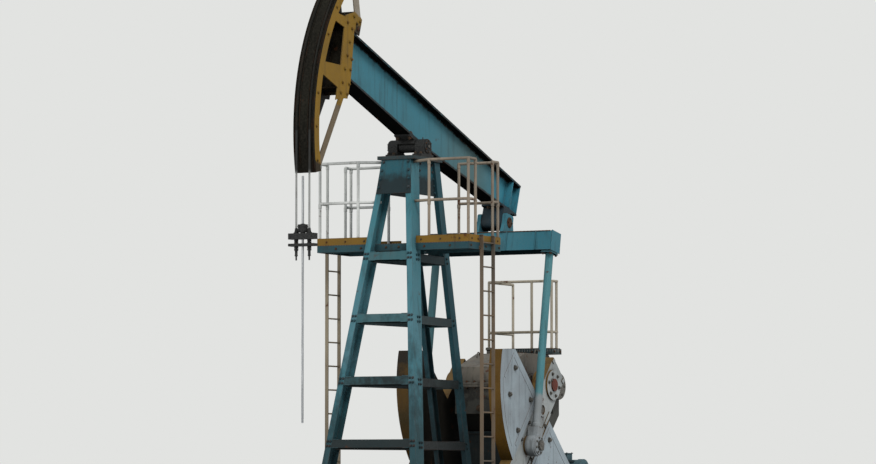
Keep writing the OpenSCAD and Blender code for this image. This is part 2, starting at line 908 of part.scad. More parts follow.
module gearbox_cover() {
    color(tan_paint) difference() {
        union() {
            translate([0, -gear_half, 0]) along_y(2 * gear_half) cover_outline();
            block([gear_rear_x - joint_w, -gear_half - joint_w, shaft_z],
                [gear_front_x + joint_w, gear_half + joint_w, shaft_z + joint_t]);
            intersection() {
                rod_y(shaft_x, shaft_z, boss_r, -gear_half - boss_l, gear_half + boss_l);
                block([-big, -big, shaft_z], [big, big, 2 * shaft_z]);
            }
        }
        shaft_notch();
    }
}

module driven_pulley() {
    hub_y = -gear_half - joint_w;
    color(dark_steel) difference() {
        union() {
            rod_y(input_x, shaft_z, pulley_r, -pulley_in - pulley_w, -pulley_in);
            rod_y(input_x, shaft_z, input_r, -pulley_in, hub_y);
        }
        for (a = [0 : 60 : 300])
            rod_y(input_x + 220 * cos(a), shaft_z + 220 * sin(a), 75, -pulley_in - pulley_w - 1, 1 - pulley_in);
    }
}

module brake_drum() {
    hub_y = gear_half + joint_w;
    color(dark_steel) {
        rod_y(input_x, shaft_z, brake_r, pulley_in, pulley_in + brake_w);
        rod_y(input_x, shaft_z, input_r, hub_y, pulley_in);
    }
}

module motor_bearers() {
    color(dull_blue) {
        for (x = [motor_x - bearer_half, motor_x + bearer_half])
            translate([x, -rail_y - base_w / 2, base_h]) along_y(2 * rail_y + base_w)
                i_section(bearer_h, bearer_w, bearer_t, bearer_t);
        both_sides() translate([motor_x - slide_half, slide_y, base_h + bearer_h]) along_x(2 * slide_half)
            i_section(slide_h, slide_w, bearer_t, bearer_t);
    }
}

module motor() {
    color(blue) {
        rod_y(motor_x, motor_z, motor_r, -motor_half, motor_half);
        rod_y(motor_x, motor_z, motor_r - 40, motor_half, motor_half + 60);
        block([motor_x - 150, -slide_y - 40, slide_top], [motor_x + 150, slide_y + 40, slide_top + motor_h - motor_r + 60]);
        block([motor_x - 90, -90, motor_z + motor_r - 30], [motor_x + 90, 90, motor_z + motor_r + 90]);
        rod_y(motor_x, motor_z, motor_shaft_r, -pulley_in, -motor_half);
    }
}

module motor_pulley() {
    color(dark_steel) rod_y(motor_x, motor_z, motor_pulley_r, -pulley_in - pulley_w, -pulley_in);
}

module drive_belts() {
    a = [input_x, shaft_z];
    b = [motor_x, motor_z];
    color("#1c1c1c") translate([0, -pulley_in - pulley_w + 8, 0]) along_y(pulley_w - 16) difference() {
        loop_outline(a, pulley_r + belt_t, b, motor_pulley_r + belt_t);
        loop_outline(a, pulley_r, b, motor_pulley_r);
    }
}

module belt_guard() {
    a = [input_x, shaft_z];
    b = [motor_x, motor_z];
    grow = belt_t + guard_gap;
    y0 = -pulley_in - pulley_w - guard_side_gap - guard_t;
    color(yellow) {
        translate([0, y0, 0]) along_y(guard_t)
            loop_outline(a, pulley_r + grow + guard_t, b, motor_pulley_r + grow + guard_t);
        translate([0, y0 + guard_t, 0]) along_y(pulley_w + guard_side_gap) difference() {
            loop_outline(a, pulley_r + grow + guard_t, b, motor_pulley_r + grow + guard_t);
            loop_outline(a, pulley_r + grow, b, motor_pulley_r + grow);
        }
        difference() {
            for (p = [a, b])
                block([p[0] - guard_leg / 2, -pulley_in - guard_leg, base_h], [p[0] + guard_leg / 2, -pulley_in, p[1]]);
            translate([0, -big, 0]) along_y(2 * big) loop_outline(a, pulley_r + grow, b, motor_pulley_r + grow);
        }
    }
}

module walkway() {
    low = gear_top_z;
    color(dull_blue) {
        block([walk_front_x - walk_d, walk_far_y, low], [walk_front_x, walk_near_y, walk_z]);
        block([walk_rear_x, walk_far_y, low], [walk_front_x - walk_d, landing_y, walk_z]);
        for (y = [-rail_y + 50, landing_y - walk_post / 2 - 10])
            block([post_x - walk_post / 2, y - walk_post / 2, base_h], [post_x + walk_post / 2, y + walk_post / 2, low]);
    }
}

module walkway_rails() {
    inset = tube_r + 8;
    x1 = walk_front_x - inset;
    x0 = walk_rear_x + inset;
    y0 = walk_far_y + inset;
    y1 = walk_near_y - inset;
    posts = [[x0, y0], [x1, y0], [x1, (y0 + y1) / 2 + walk_post_shift], [x1, y1]];
    color(tan_paint) {
        rail_posts(posts, walk_z, walk_z + walk_rail_h, tube_r);
        rail_run([[x0, y0], [x1, y0], [x1, y1]], walk_z + walk_rail_h, tube_r);
        rail_run([[x0, y0], [x1, y0], [x1, y1]], walk_z + walk_low_rail_h, tube_r);
    }
}

// Walking beam and head

// Height of the beam's underside over its line, at a place along it: it rises to the tail
function beam_under(s) =
    beam_low + tail_rise * max(0, -taper_start - s) / (tail_arm + beam_overhang - taper_start);

module walking_beam() {
    rear = -tail_arm - beam_overhang;
    w = (beam_w - beam_web) / 2;
    color(blue) on_beam() {
        translate([0, -beam_web / 2, 0]) along_y(beam_web) polygon([
            [rear, beam_under(rear)], [-taper_start, beam_low], [beam_front, beam_low],
            [beam_front, beam_top], [rear, beam_top]
        ]);
        block([rear, -beam_w / 2, beam_top - beam_flange], [beam_front, beam_w / 2, beam_top]);
        translate([0, -beam_w / 2, 0]) along_y(beam_w) polygon([
            [rear, beam_under(rear)], [-taper_start, beam_low], [beam_front, beam_low],
            [beam_front, beam_low + beam_flange], [-taper_start, beam_low + beam_flange],
            [rear, beam_under(rear) + beam_flange]
        ]);
        both_sides() for (s = [rear, -tail_arm - 150])
            block([s, beam_web / 2, beam_under(s) + beam_flange - tiny * 10],
                [s + stiffener_t, beam_web / 2 + w - 6, beam_top - beam_flange]);
    }
}

module beam_saddle() {
    color(dark_steel) on_beam() {
        translate([0, -block_in + 10, 0]) along_y(2 * block_in - 20) circle(saddle_r + 20);
        block([-120, -block_in + 10, 0], [120, block_in - 10, beam_low - 25]);
        block([-260, -beam_w / 2, beam_low - 25], [260, beam_w / 2, beam_low]);
        translate([0, -block_out - 20, 0]) along_y(2 * block_out + 40) circle(saddle_r);
    }
}

// Outline under the beam's tail, as wide as half each way from the pin and h deep at its rear
module foot_outline(half, h) {
    rear = beam_under(-tail_arm - half);
    front = beam_under(half - tail_arm);
    polygon([[-half, rear - h], [half, rear - h], [half, front], [-half, rear]]);
}

module tail_bearing() {
    color(dark_steel) on_beam() translate([-tail_arm, -tail_bearing_w / 2, 0]) along_y(tail_bearing_w) difference() {
        union() {
            circle(tail_bearing_r);
            foot_outline(tail_foot / 2, tail_foot_t);
            foot_outline(tail_bearing_r, beam_under(-tail_arm - tail_bearing_r));
        }
        circle(tail_pin_r + gap_run);
    }
}

// A band round the pivot in the beam's own plane, between two radii and two angles
module arc_band(r0, r1, a0, a1, w) {
    translate([0, w / 2, 0]) rotate([90, 0, 0]) rotate([0, 0, a0])
        rotate_extrude(angle = a1 - a0, $fn = 180) translate([r0, 0]) square([r1 - r0, w]);
}

module head_face() {
    color("#2a2c2b") on_beam() {
        arc_band(face_in, face_r, -head_down, head_up, face_w);
        arc_band(face_in, face_r + anchor_d, head_up - anchor_a, head_up, face_w);
    }
}

function on_circle(r, a) = r * [cos(a), sin(a)];

// Outline of a side frame's rim
module rim_outline() {
    intersection() {
        difference() {
            circle(face_in - tiny, $fn = 180);
            circle(face_in - rim_d, $fn = 180);
        }
        polygon([[0, 0], on_circle(2 * face_in, -head_down), on_circle(3 * face_in, 0), on_circle(2 * face_in, head_up)]);
    }
}

// Outline of a side frame in the beam's plane, within its rim: hub plate, arm, band and struts
module head_side_outline() {
    rim_r = face_in - rim_d / 2;
    top = on_circle(rim_r, head_up - 1);
    bottom = on_circle(rim_r - hub_low_d / 3, -strut_low_a);
    polygon([
        [head_back, -hub_low], [head_back + hub_low_d, -hub_heel], [head_back + hub_mid_d, arm_half],
        [head_back + hub_d, hub_shoulder], [head_back + hub_top_d, hub_high - rim_d / 2], [head_back, hub_high],
        [beam_front - ear_reach, hub_high - hinge_h / 2], [beam_front - ear_reach, beam_top + tiny],
        [beam_front, beam_top + tiny], [beam_front - low_reach, beam_low], [beam_front - low_reach, -back_low]
    ]);
    polygon([
        [head_back + hub_low_d, -arm_half], [rim_r, -arm_half], [rim_r, 0], [head_back + hub_low_d, arm_half]
    ]);
    polygon([
        [head_back + hub_mid_d, band_low + band_end_h / 4], [head_back + band_reach, band_low],
        [head_back + band_reach, band_low + band_end_h], [head_back + hub_mid_d, band_high]
    ]);
    strut([beam_front - strut_high_back, strut_high], top, strut_high_w);
    strut([beam_front + strut_low_d, -hub_low * 2 / 3], bottom, strut_low_w);
}

module strut(a, b, w) {
    d = b - a;
    translate(a) rotate(atan2(d[1], d[0])) translate([0, -w / 2]) square([norm(d), w]);
}

module head_side() {
    on_beam() translate([0, face_w / 2 - side_inset - side_t, 0]) along_y(side_t) {
        intersection() {
            head_side_outline();
            circle(face_in - rim_d / 2, $fn = 180);
        }
        rim_outline();
    }
}

module head_side_near() {
    color(yellow) head_side();
}

module head_side_far() {
    color(yellow) mirror([0, 1, 0]) head_side();
}

module head_back() {
    y0 = face_w / 2 - side_inset - side_t;
    color(yellow) on_beam() {
        block([beam_front, -y0, -back_low], [head_back, y0, back_high]);
        block([head_back, -y0, -arm_half], [head_back + hub_low_d, y0, head_web_t - arm_half]);
        block([head_back, -y0, band_high], [head_back + hub_mid_d, y0, band_high + head_web_t]);
        block([beam_front - hinge_l, -hinge_w / 2, beam_top], [beam_front, hinge_w / 2, beam_top + hinge_h]);
    }
}

module arc_ropes() {
    color(dark_steel) on_beam() both_sides() translate([0, rope_y, 0]) rotate([90, 0, 0]) rotate([0, 0, -beam_tilt])
        rotate_extrude(angle = head_up - anchor_a + beam_tilt, $fn = 180) translate([well_arm, 0])
            circle(rope_r, $fn = 24);
}

// Equalizer, pitmans and cranks

module equalizer() {
    lug_in = tail_bearing_w / 2 + 5;
    top = -equalizer_drop + equalizer_s / 2;
    color(blue) on_pitman() {
        block([-equalizer_s / 2, -equalizer_half, top - equalizer_s], [equalizer_s / 2, equalizer_half, top]);
        both_sides() translate([0, lug_in, 0]) along_y(lug_t) {
            polygon([
                [-lug_foot, top], [lug_foot, top], [lug_r, 0], [lug_r, lug_r - lug_cut], [lug_r - lug_cut, lug_r],
                [lug_cut - lug_r, lug_r], [-lug_r, lug_r - lug_cut], [-lug_r, 0]
            ]);
        }
        rod_y(0, 0, tail_pin_r, -lug_in - 1, lug_in + 1);
    }
}

module pitman() {
    top = -equalizer_drop - equalizer_s / 2;
    on_pitman() {
        translate([0, pitman_y, -pitman_l]) cylinder(h = pitman_l + top, r = pitman_r);
        block([-110, pitman_y - 80, top - 25], [110, pitman_y + 80, top]);
        rod_y(0, -pitman_l, pin_head_r, pin_head_in, pin_head_in + pin_head_w);
        rod_y(0, -pitman_l, pin_r, pin_head_in, pin_head_in + pin_head_w + 45);
        block([-90, pin_head_in, -pitman_l], [90, pin_head_in + pin_head_w, -pitman_l + pin_head_r + 110]);
    }
}

module pitman_near() {
    color(blue) pitman();
}

module pitman_far() {
    color(blue) mirror([0, 1, 0]) pitman();
}

module crank_shaft() {
    color(dark_steel) rod_y(shaft_x, shaft_z, shaft_r, -crank_face - 20, crank_face + 20);
}

module crank() {
    on_crank() difference() {
        union() {
            translate([-crank_butt, crank_in, -crank_w / 2]) cube([crank_butt + crank_tip, crank_t, crank_w]);
            rod_y(0, 0, crank_w / 2 - 20, crank_in - 60, crank_face);
            rod_y(crank_r, 0, 140, crank_in, crank_face);
        }
        rod_y(0, 0, shaft_r, crank_in - 100, crank_face + 100);
    }
}

module crank_near() {
    color(grey_paint) crank();
}

module crank_far() {
    color(grey_paint) mirror([0, 1, 0]) crank();
}

// A weight bolted on the crank's edge: square end, cut corner and a round back
module counterweight() {
    v0 = crank_w / 2;
    translate([0, weight_in, 0]) along_y(weight_t) intersection() {
        circle(weight_r, $fn = 180);
        polygon([
            [weight_start, v0], [weight_start, weight_corner], [weight_start + weight_cut, weight_side],
            [big, weight_side], [big, v0]
        ]);
    }
}

module counterweights() {
    on_crank() {
        counterweight();
        mirror([0, 0, 1]) counterweight();
    }
}

module counterweights_near() {
    color(grey_paint) counterweights();
}

module counterweights_far() {
    color(grey_paint) mirror([0, 1, 0]) counterweights();
}

// Hanger and polished rod

module hanger_bars() {
    color(dark_steel) translate([well_arm, 0, 0]) difference() {
        union() {
            block([-bar_w / 2, -bar_l / 2, upper_bar_z - bar_h / 2], [bar_w / 2, bar_l / 2, upper_bar_z + bar_h / 2]);
            block([-bar_w / 2, -bar_l / 2, lower_bar_z - lower_bar_h / 2],
                [bar_w / 2, bar_l / 2, lower_bar_z + lower_bar_h / 2]);
            both_sides() translate([0, rope_y, lower_bar_z - socket_l])
                cylinder(h = socket_l + upper_bar_z - lower_bar_z, r = socket_r);
        }
        translate([0, 0, lower_bar_z - bar_h]) cylinder(h = 2 * upper_bar_z, r = rod_r + 3);
    }
}

module rod_clamp() {
    color(dark_steel) translate([well_arm, 0, clamp_z]) difference() {
        cylinder(h = clamp_h, r = clamp_r);
        translate([0, 0, -1]) cylinder(h = clamp_h + 2, r = rod_r);
    }
}

module polished_rod() {
    color("#7d8284") translate([well_arm, 0, rod_low_z]) {
        cylinder(h = thread_l + 10, r = thread_r);
        translate([0, 0, thread_l]) cylinder(h = rod_high_z - rod_low_z - thread_l, r = rod_r);
    }
}

module bridle_ropes() {
    color(dark_steel) both_sides() translate([well_arm, rope_y, upper_bar_z + bar_h / 2])
        cylinder(h = pivot_z - tiny - upper_bar_z - bar_h / 2, r = rope_r, $fn = 24);
}

base_rails();
base_cross_beams();
gearbox_pedestal();
tower_front_legs();
tower_rear_legs();
tower_ties();
tower_gussets();
tower_cap();
saddle_bearings();
platform_frame();
platform_deck();
toe_boards();
platform_handrails();
ladder_stiles();
ladder_rungs();
gearbox_case();
gearbox_cover();
driven_pulley();
brake_drum();
motor_bearers();
motor();
motor_pulley();
drive_belts();
belt_guard();
walkway();
walkway_rails();
walking_beam();
beam_saddle();
tail_bearing();
head_face();
head_side_near();
head_side_far();
head_back();
arc_ropes();
equalizer();
pitman_near();
pitman_far();
crank_shaft();
crank_near();
crank_far();
counterweights_near();
counterweights_far();
hanger_bars();
rod_clamp();
polished_rod();
bridle_ropes();
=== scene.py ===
"""Looks of the pumpjack: materials for the solids, and details that ride on them. Metres, +X to the well."""
import math
from itertools import product

import bmesh
import bpy
from mathutils import Matrix, Vector


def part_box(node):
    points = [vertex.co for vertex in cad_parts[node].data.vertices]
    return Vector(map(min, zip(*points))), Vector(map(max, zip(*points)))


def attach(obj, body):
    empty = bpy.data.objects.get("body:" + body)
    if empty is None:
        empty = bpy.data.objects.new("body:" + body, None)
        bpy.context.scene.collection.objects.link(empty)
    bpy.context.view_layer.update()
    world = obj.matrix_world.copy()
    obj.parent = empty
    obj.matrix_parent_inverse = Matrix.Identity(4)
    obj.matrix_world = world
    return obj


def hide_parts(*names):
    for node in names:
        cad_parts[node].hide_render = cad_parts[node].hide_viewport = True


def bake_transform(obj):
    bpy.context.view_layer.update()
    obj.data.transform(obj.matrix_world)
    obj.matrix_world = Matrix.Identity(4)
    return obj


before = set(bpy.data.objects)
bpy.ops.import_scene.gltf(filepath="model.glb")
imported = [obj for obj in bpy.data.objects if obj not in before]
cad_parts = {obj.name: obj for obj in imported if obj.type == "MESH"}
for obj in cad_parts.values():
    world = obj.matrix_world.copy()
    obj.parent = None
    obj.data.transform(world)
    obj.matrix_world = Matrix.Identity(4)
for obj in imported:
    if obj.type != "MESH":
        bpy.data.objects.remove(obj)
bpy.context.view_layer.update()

# Places and sizes, in metres and degrees; those of the solids are as in the part's source
PIVOT_Z = 5.4
TILT = 19.0
LEAN = 9.97
CRANK = -47.3
TAIL_ARM = 2.8
WELL = 3.0
SHAFT = (-2.89, 2.12)
PITMAN_L = 3.3
BEAM_LOW = 0.085
BEAM_TOP = 0.745
BEAM_W = 0.25
BEAM_FRONT = 2.23
HEAD_BACK = 2.26
TAIL_RISE = 0.18
TAPER_START = 0.3
TAPER_L = 2.88
FACE_W = 0.31
FACE_R = 2.9847
HEAD_UP = 31.5
HEAD_DOWN = 30.0
HEAD_INNER = 2.821
ROPE_Y = 0.1
ROPE_LAY = 0.2
STRANDS = 6
STRAND_RING = 0.0092
STRAND_R = 0.0056
CORE_R = 0.0075
BASE_H = 0.4
RAIL_Y = 0.42
SPLICE_X = -1.75
CAP_Z = 5.2
CAP_TOP = 5.25
GUSSET_H = 0.48
FRONT_TOP = (0.253, 0.175)
FRONT_RUN = 0.19
FRONT_SPLAY = 0.12
REAR_TOP = (-0.338, 0.22)
REAR_RUN = 0.233
TIES = [1.22 + 0.867 * i for i in range(4)]
DECK_Z = 4.02
DECK_X = (-0.45, 0.5)
DECK_HALF = 1.2
DECK_OPEN = 0.56
HANDRAILS = (0.59, 1.15)
RUNG = 0.335
GEAR_X = (-3.95, -2.15)
GEAR_HALF = 0.4
GEAR_TOP = 2.59
COVER_R = 0.43
COVER_REAR = (0.35, 0.12)
COVER_FRONT = 0.67
NOTCH_R = 0.0903
BOSS = (0.19, 0.07)
JOINT = 0.035
INPUT = (-3.72, 2.12)
IDLER_X = -3.35
MOTOR = (-4.95, 0.855)
PULLEY_IN = 0.45
PULLEY_OUT = 0.54
DRIVEN_R = 0.4
DRIVER_R = 0.095
BELTS = 4
WALK_Z = 2.67
WALK_X = (-4.3, -3.75, -3.45)
WALK_END = (-3.64, 0.512)
GRATING = 0.0422
CRANK_FACE = 0.835
CRANK_OUT = 0.805
CRANK_HALF = 0.24
RIDGE = 0.004
PIN_IN = 0.84

UP, DOWN = (0, 0, 1), (0, 0, -1)
FRONT, REAR = (1, 0, 0), (-1, 0, 0)
NEAR, FAR = (0, 1, 0), (0, -1, 0)


def line(foot, angle):
    """The frame of a body's own line, from its foot and its angle in the XZ plane."""
    return Matrix.Translation(foot) @ Matrix.Rotation(math.radians(-angle), 4, "Y")


ON_BEAM = line((0, 0, PIVOT_Z), TILT)
TAIL = ON_BEAM @ Vector((-TAIL_ARM, 0, 0))
ON_PITMAN = line(TAIL, LEAN)
LINES = {
    "frame": Matrix(),
    "beam": ON_BEAM,
    "pitmans": ON_PITMAN,
    "cranks": line((SHAFT[0], 0, SHAFT[1]), CRANK),
    "rod": line((WELL, 0, 0), 0),
}


# Materials, whose colours are red, green and blue from 0 to 255

RUST = (104, 62, 38)
DARK_RUST = (58, 38, 28)
GRIME_AND_SHADE = (18, 17, 15)
DUST = (120, 112, 98)
DIRT = (44, 42, 38)
SHADE = (9, 9, 8)
LOW_DARK = (27, 30, 30)
MATS = {}


def rgb(r, g, b):
    """A colour written as 0 to 255 becomes the shader's linear colour."""
    def linear(c):
        c = c / 255
        return c / 12.92 if c <= 0.04045 else ((c + 0.055) / 1.055) ** 2.4
    return (linear(r), linear(g), linear(b), 1.0)


def facing(body_line, axis):
    return (body_line.to_3x3() @ Vector(axis)).to_tuple()


class Nodes:
    """A node tree with short calls for its nodes."""

    def __init__(self, owner):
        owner.use_nodes = True
        self.tree = owner.node_tree
        self.tree.nodes.clear()

    def put(self, socket, value):
        if isinstance(value, bpy.types.NodeSocket):
            self.tree.links.new(value, socket)
        else:
            socket.default_value = value

    def node(self, kind, inputs=(), out=0, **props):
        n = self.tree.nodes.new(kind)
        for key, value in props.items():
            setattr(n, key, value)
        for key, value in dict(inputs).items():
            self.put(n.inputs[key], value)
        return n.outputs[out]

    def math(self, op, a, b=0.0, clamp=False):
        return self.node("ShaderNodeMath", {0: a, 1: b}, operation=op, use_clamp=clamp)

    def plus(self, a, b):
        return self.math("ADD", a, b)

    def less(self, a, b):
        return self.math("SUBTRACT", a, b)

    def times(self, a, b):
        return self.math("MULTIPLY", a, b)


class Shader(Nodes):
    """A material with the patterns that the finishes share."""

    def __init__(self, name):
        self.mat = bpy.data.materials.new(name)
        MATS[name] = self.mat
        super().__init__(self.mat)
        self.bsdf = self.tree.nodes.new("ShaderNodeBsdfPrincipled")
        out = self.tree.nodes.new("ShaderNodeOutputMaterial")
        self.tree.links.new(self.bsdf.outputs[0], out.inputs[0])
        texco = self.tree.nodes.new("ShaderNodeTexCoord")
        self.coord = texco.outputs["Object"]
        self.normal = texco.outputs["Normal"]

    def stretch(self, scale, turn=(0, 0, 0)):
        return self.node("ShaderNodeMapping", {"Vector": self.coord, "Scale": scale, "Rotation": turn})

    def noise(self, scale, detail=4.0, rough=0.55, coord=None):
        return self.node("ShaderNodeTexNoise", {
            "Vector": coord or self.coord, "Scale": scale, "Detail": detail, "Roughness": rough})

    def step(self, value, low, high, to_low=0.0, to_high=1.0):
        """Maps a range smoothly to another, held at its ends."""
        return self.node("ShaderNodeMapRange", {
            "Value": value, "From Min": low, "From Max": high, "To Min": to_low, "To Max": to_high},
            interpolation_type="SMOOTHSTEP")

    def drift(self, scale, detail=4.0, low=0.35, high=0.68, to_high=1.0):
        """Soft patches of noise."""
        return self.step(self.noise(scale, detail), low, high, 0.0, to_high)

    def wander(self, value, scale, detail, reach):
        """A distance whose steps wander by a reach to both sides."""
        return self.plus(value, self.step(self.noise(scale, detail), 0.3, 0.7, -reach, reach))

    def mix(self, fac, a, b):
        n = self.tree.nodes.new("ShaderNodeMix")
        n.data_type = "RGBA"
        self.put(n.inputs[0], fac)
        for socket, colour in ((n.inputs[6], a), (n.inputs[7], b)):
            self.put(socket, rgb(*colour) if isinstance(colour, tuple) else colour)
        return n.outputs[2]

    def dot(self, a, b):
        return self.node("ShaderNodeVectorMath", {0: a, 1: b}, out=1, operation="DOT_PRODUCT")

    def along(self, direction, origin=(0, 0, 0), source=None):
        """Distance of a point from an origin along a direction."""
        return self.less(self.dot(source or self.coord, direction), Vector(direction).dot(Vector(origin)))

    def edges(self, radius):
        """1 along worn edges, 0 on the flats."""
        soft = self.node("ShaderNodeBevel", {"Radius": radius}, samples=4)
        return self.step(self.dot(soft, self.node("ShaderNodeNewGeometry", out=1)), 0.99, 0.86)

    def corners(self, distance):
        """1 deep in the corners, where shade falls, 0 in the open."""
        ao = self.node("ShaderNodeAmbientOcclusion", {"Distance": distance}, out=1, samples=4)
        return self.step(ao, 0.85, 0.3)

    def bump(self, height, strength, distance, normal=None):
        inputs = {"Height": height, "Strength": strength, "Distance": distance}
        if normal is not None:
            inputs["Normal"] = normal
        return self.node("ShaderNodeBump", inputs)

    def surface(self, colour, rough, metallic=0.0, normal=None, specular=None):
        values = {"Base Color": colour, "Roughness": rough, "Metallic": metallic, "Normal": normal,
                  "Specular IOR Level": specular}
        for key, value in values.items():
            if value is not None:
                self.put(self.bsdf.inputs[key], value)


def weather(s, colour, rust=0.3, streaks=0.4, edge=0.6, corner=0.5, under=0.75, low=0.0, top=2.3, gloss=0.5,
            fade=1.7, specular=0.16):
    """Ages a paint: streaks, rust spots, worn edges, grime and painted shade in corners, painted shade under
    flanges, and darker near the ground.
    """
    fine = s.noise(42.0, 6.0, 0.6)
    blotch = s.noise(5.5, 8.0, 0.66)
    run = s.noise(1.0, 5.0, 0.6, s.stretch((11, 11, 0.9)))
    colour = s.mix(s.step(fine, 0.3, 0.72, 0.0, 0.1), colour, DUST)
    colour = s.mix(s.step(run, 0.5, 0.72, 0.0, streaks), colour, DIRT)
    # Grime and painted shade in the corners, as deep as the occlusion there
    colour = s.mix(s.times(s.corners(0.16), corner), colour, GRIME_AND_SHADE)
    up = s.along(UP, source=s.normal)
    # Painted shade on the faces that look down
    colour = s.mix(s.step(up, -0.25, -0.8, 0.0, under), colour, SHADE)
    # Darker towards the bottom, below a given height
    if low:
        height = s.plus(s.along(UP), s.step(blotch, 0.3, 0.7, -0.3 * fade, 0.3 * fade))
        colour = s.mix(s.step(height, top, top - fade, 0.0, low), colour, LOW_DARK)
    shine = s.bsdf.inputs["Specular IOR Level"]
    shine.default_value = specular
    s.put(shine, s.step(up, 0.0, -0.7, specular, 0.0))
    spots = s.step(blotch, 0.69 - 0.22 * rust, 0.76 - 0.2 * rust)
    worn = s.times(s.edges(0.012), s.step(blotch, 0.42, 0.6, 0.0, edge))
    rusty = s.math("MAXIMUM", s.times(spots, 0.9), worn)
    colour = s.mix(rusty, colour, s.mix(s.noise(60.0, 3.0), DARK_RUST, RUST))
    rough = s.math("ADD", s.step(fine, 0.3, 0.7, gloss, gloss + 0.16), s.times(rusty, 0.3), clamp=True)
    return colour, rough, s.bump(s.less(s.times(fine, 0.35), rusty), 0.35, 0.004)


def aged(s, colour, **wear):
    colour, rough, normal = weather(s, colour, **wear)
    s.surface(colour, rough, normal=normal)


def painted(name, base, pale, near=None, **wear):
    """Paint whose tone drifts between a fresh and a bleached colour, with another pair for the near side."""
    s = Shader(name)
    drift = s.drift(0.9, 3.0)
    colour = s.mix(drift, base, pale)
    if near:
        colour = s.mix(s.step(s.along(NEAR), -0.3, 0.3), colour, s.mix(drift, *near))
    aged(s, colour, **wear)


def pitman_paint():
    """Blue rods, the far one painted darker as shade, whose lowest part is bare and grey."""
    s = Shader("pitman_blue")
    drift = s.drift(1.6)
    blue = s.mix(drift, (74, 130, 137), (86, 134, 138))
    # Painted shade on the far rod
    blue = s.mix(s.step(s.along(NEAR), 0.2, -0.2, 0.0, 0.6), blue, (30, 56, 62))
    down = s.wander(s.along(facing(ON_PITMAN, DOWN), TAIL), 6.0, 5.0, 0.06)
    colour = s.mix(s.step(down, 2.5, 2.62), blue, s.mix(drift, (152, 158, 160), (132, 136, 136)))
    aged(s, colour, rust=0.25, under=0.7)


def beam_places(s):
    """How far a point lies from the pivot, along the beam's line and over it."""
    return [s.along(facing(ON_BEAM, axis), (0, 0, PIVOT_Z)) for axis in (FRONT, UP)]


def beam_paint():
    """Blue beam: the web bleached to the front, the flanges' edges painted black as shade."""
    s = Shader("beam_blue")
    u, v = beam_places(s)
    base = s.mix(s.step(u, -2.9, -1.9), (60, 134, 152), (82, 112, 114))
    base = s.mix(s.step(u, -1.9, -0.2), base, (62, 124, 138))
    base = s.mix(s.drift(1.7, 4.0, 0.45, 0.7, 0.4), base, (60, 102, 108))
    rise = s.step(u, -TAPER_START, -TAPER_START - TAPER_L, 0.0, TAIL_RISE)
    rise.node.interpolation_type = "LINEAR"
    low = s.less(s.less(v, BEAM_LOW), rise)
    off = s.math("MINIMUM", low, s.less(BEAM_TOP, v))
    # Painted shade: the flanges' edges, near the beam's top and bottom lines, turn nearly black
    flange_edge_shade = s.step(s.wander(off, 9.0, 4.0, 0.02), 0.06, 0.02, 0.0, 0.93)
    aged(s, s.mix(flange_edge_shade, base, (12, 14, 14)), rust=0.2, streaks=0.35, under=0.97)


def sided_paint(name, face, rim, inner_shade, outward=1, over=None, **wear):
    """One paint on the sides that face out, painted shade on those that face the middle, a third on the rest.
    """
    s = Shader(name)
    side = s.along((0, outward, 0), source=s.normal)
    drift = s.drift(1.6, 5.0, 0.38, 0.66)
    colour = s.mix(s.step(side, 0.55, 0.75), s.mix(drift, *rim), s.mix(drift, *face))
    colour = s.mix(s.step(side, -0.55, -0.75), colour, s.mix(drift, *inner_shade))
    aged(s, over(s, colour) if over else colour, **wear)


def head_marks(s, colour):
    """Dark marks on the head beside the hinge and at the rim's lower end, and bare struts below and over it.
    """
    u, v = (s.wander(place, 7.0, 4.0, 0.02) for place in beam_places(s))
    reach = s.math("SQRT", s.plus(s.times(u, u), s.times(v, v)))
    inside = s.step(reach, 2.83, 2.81)
    strut = s.times(s.step(v, -0.36, -0.4), inside)
    colour = s.mix(strut, colour, s.mix(s.noise(9.0), (122, 108, 86), (96, 80, 60)))
    upper = s.times(s.step(v, 0.99, 1.03), inside)
    colour = s.mix(upper, colour, s.mix(s.noise(9.0), (158, 150, 138), (128, 116, 98)))
    plate = s.times(s.step(v, 0.9, 0.84), s.step(v, 0.68, 0.74))
    hinge = s.times(s.step(u, BEAM_FRONT + 0.01, BEAM_FRONT - 0.02), plate)
    end = s.step(v, -1.31, -1.36)
    return s.mix(s.times(s.math("MAXIMUM", hinge, end), 0.93), colour, (12, 11, 9))


def weight_far_shadow(s, colour):
    """The far weight's rim is painted dark towards its top, as shadow."""
    return s.mix(s.step(s.wander(s.along(UP), 4.0, 4.0, 0.15), 2.15, 2.4, 0.0, 0.85), colour, (26, 28, 28))


def case_paint():
    """Gearbox paint: pale over the joint, much darker below it."""
    s = Shader("gearbox_paint")
    z = s.wander(s.along(UP), 3.2, 5.0, 0.22)
    pale = s.mix(s.drift(1.4, 4.0, 0.4, 0.65), (104, 98, 88), (84, 82, 76))
    darker_below = s.mix(s.step(z, 2.0, 1.86), (22, 25, 25), (58, 59, 55))
    aged(s, s.mix(s.step(z, 2.3, 1.95, 0.0, 0.92), pale, darker_below), rust=0.4, streaks=0.6, corner=0.6)


def bare_steel(name, dark, light, metallic, rough, rust=0.4, grain=(60, 60, 60)):
    """Steel with no paint: rolled skin, oil and rust."""
    s = Shader(name)
    tone = s.noise(1.0, 5.0, 0.6, s.stretch(grain))
    colour = s.mix(s.step(tone, 0.3, 0.7), dark, light)
    rusty = s.step(s.noise(7.0, 8.0, 0.65), 0.66 - 0.2 * rust, 0.78 - 0.2 * rust, 0.0, 0.85)
    colour = s.mix(rusty, colour, s.mix(tone, DARK_RUST, RUST))
    # Grime and painted shade in the corners
    colour = s.mix(s.times(s.corners(0.1), 0.6), colour, GRIME_AND_SHADE)
    level = s.times(s.less(1.0, rusty), metallic)
    value = s.math("ADD", s.step(tone, 0.3, 0.7, rough, rough + 0.15), s.times(rusty, 0.3), clamp=True)
    s.surface(colour, value, level, s.bump(s.less(tone, rusty), 0.3, 0.002), 0.2)


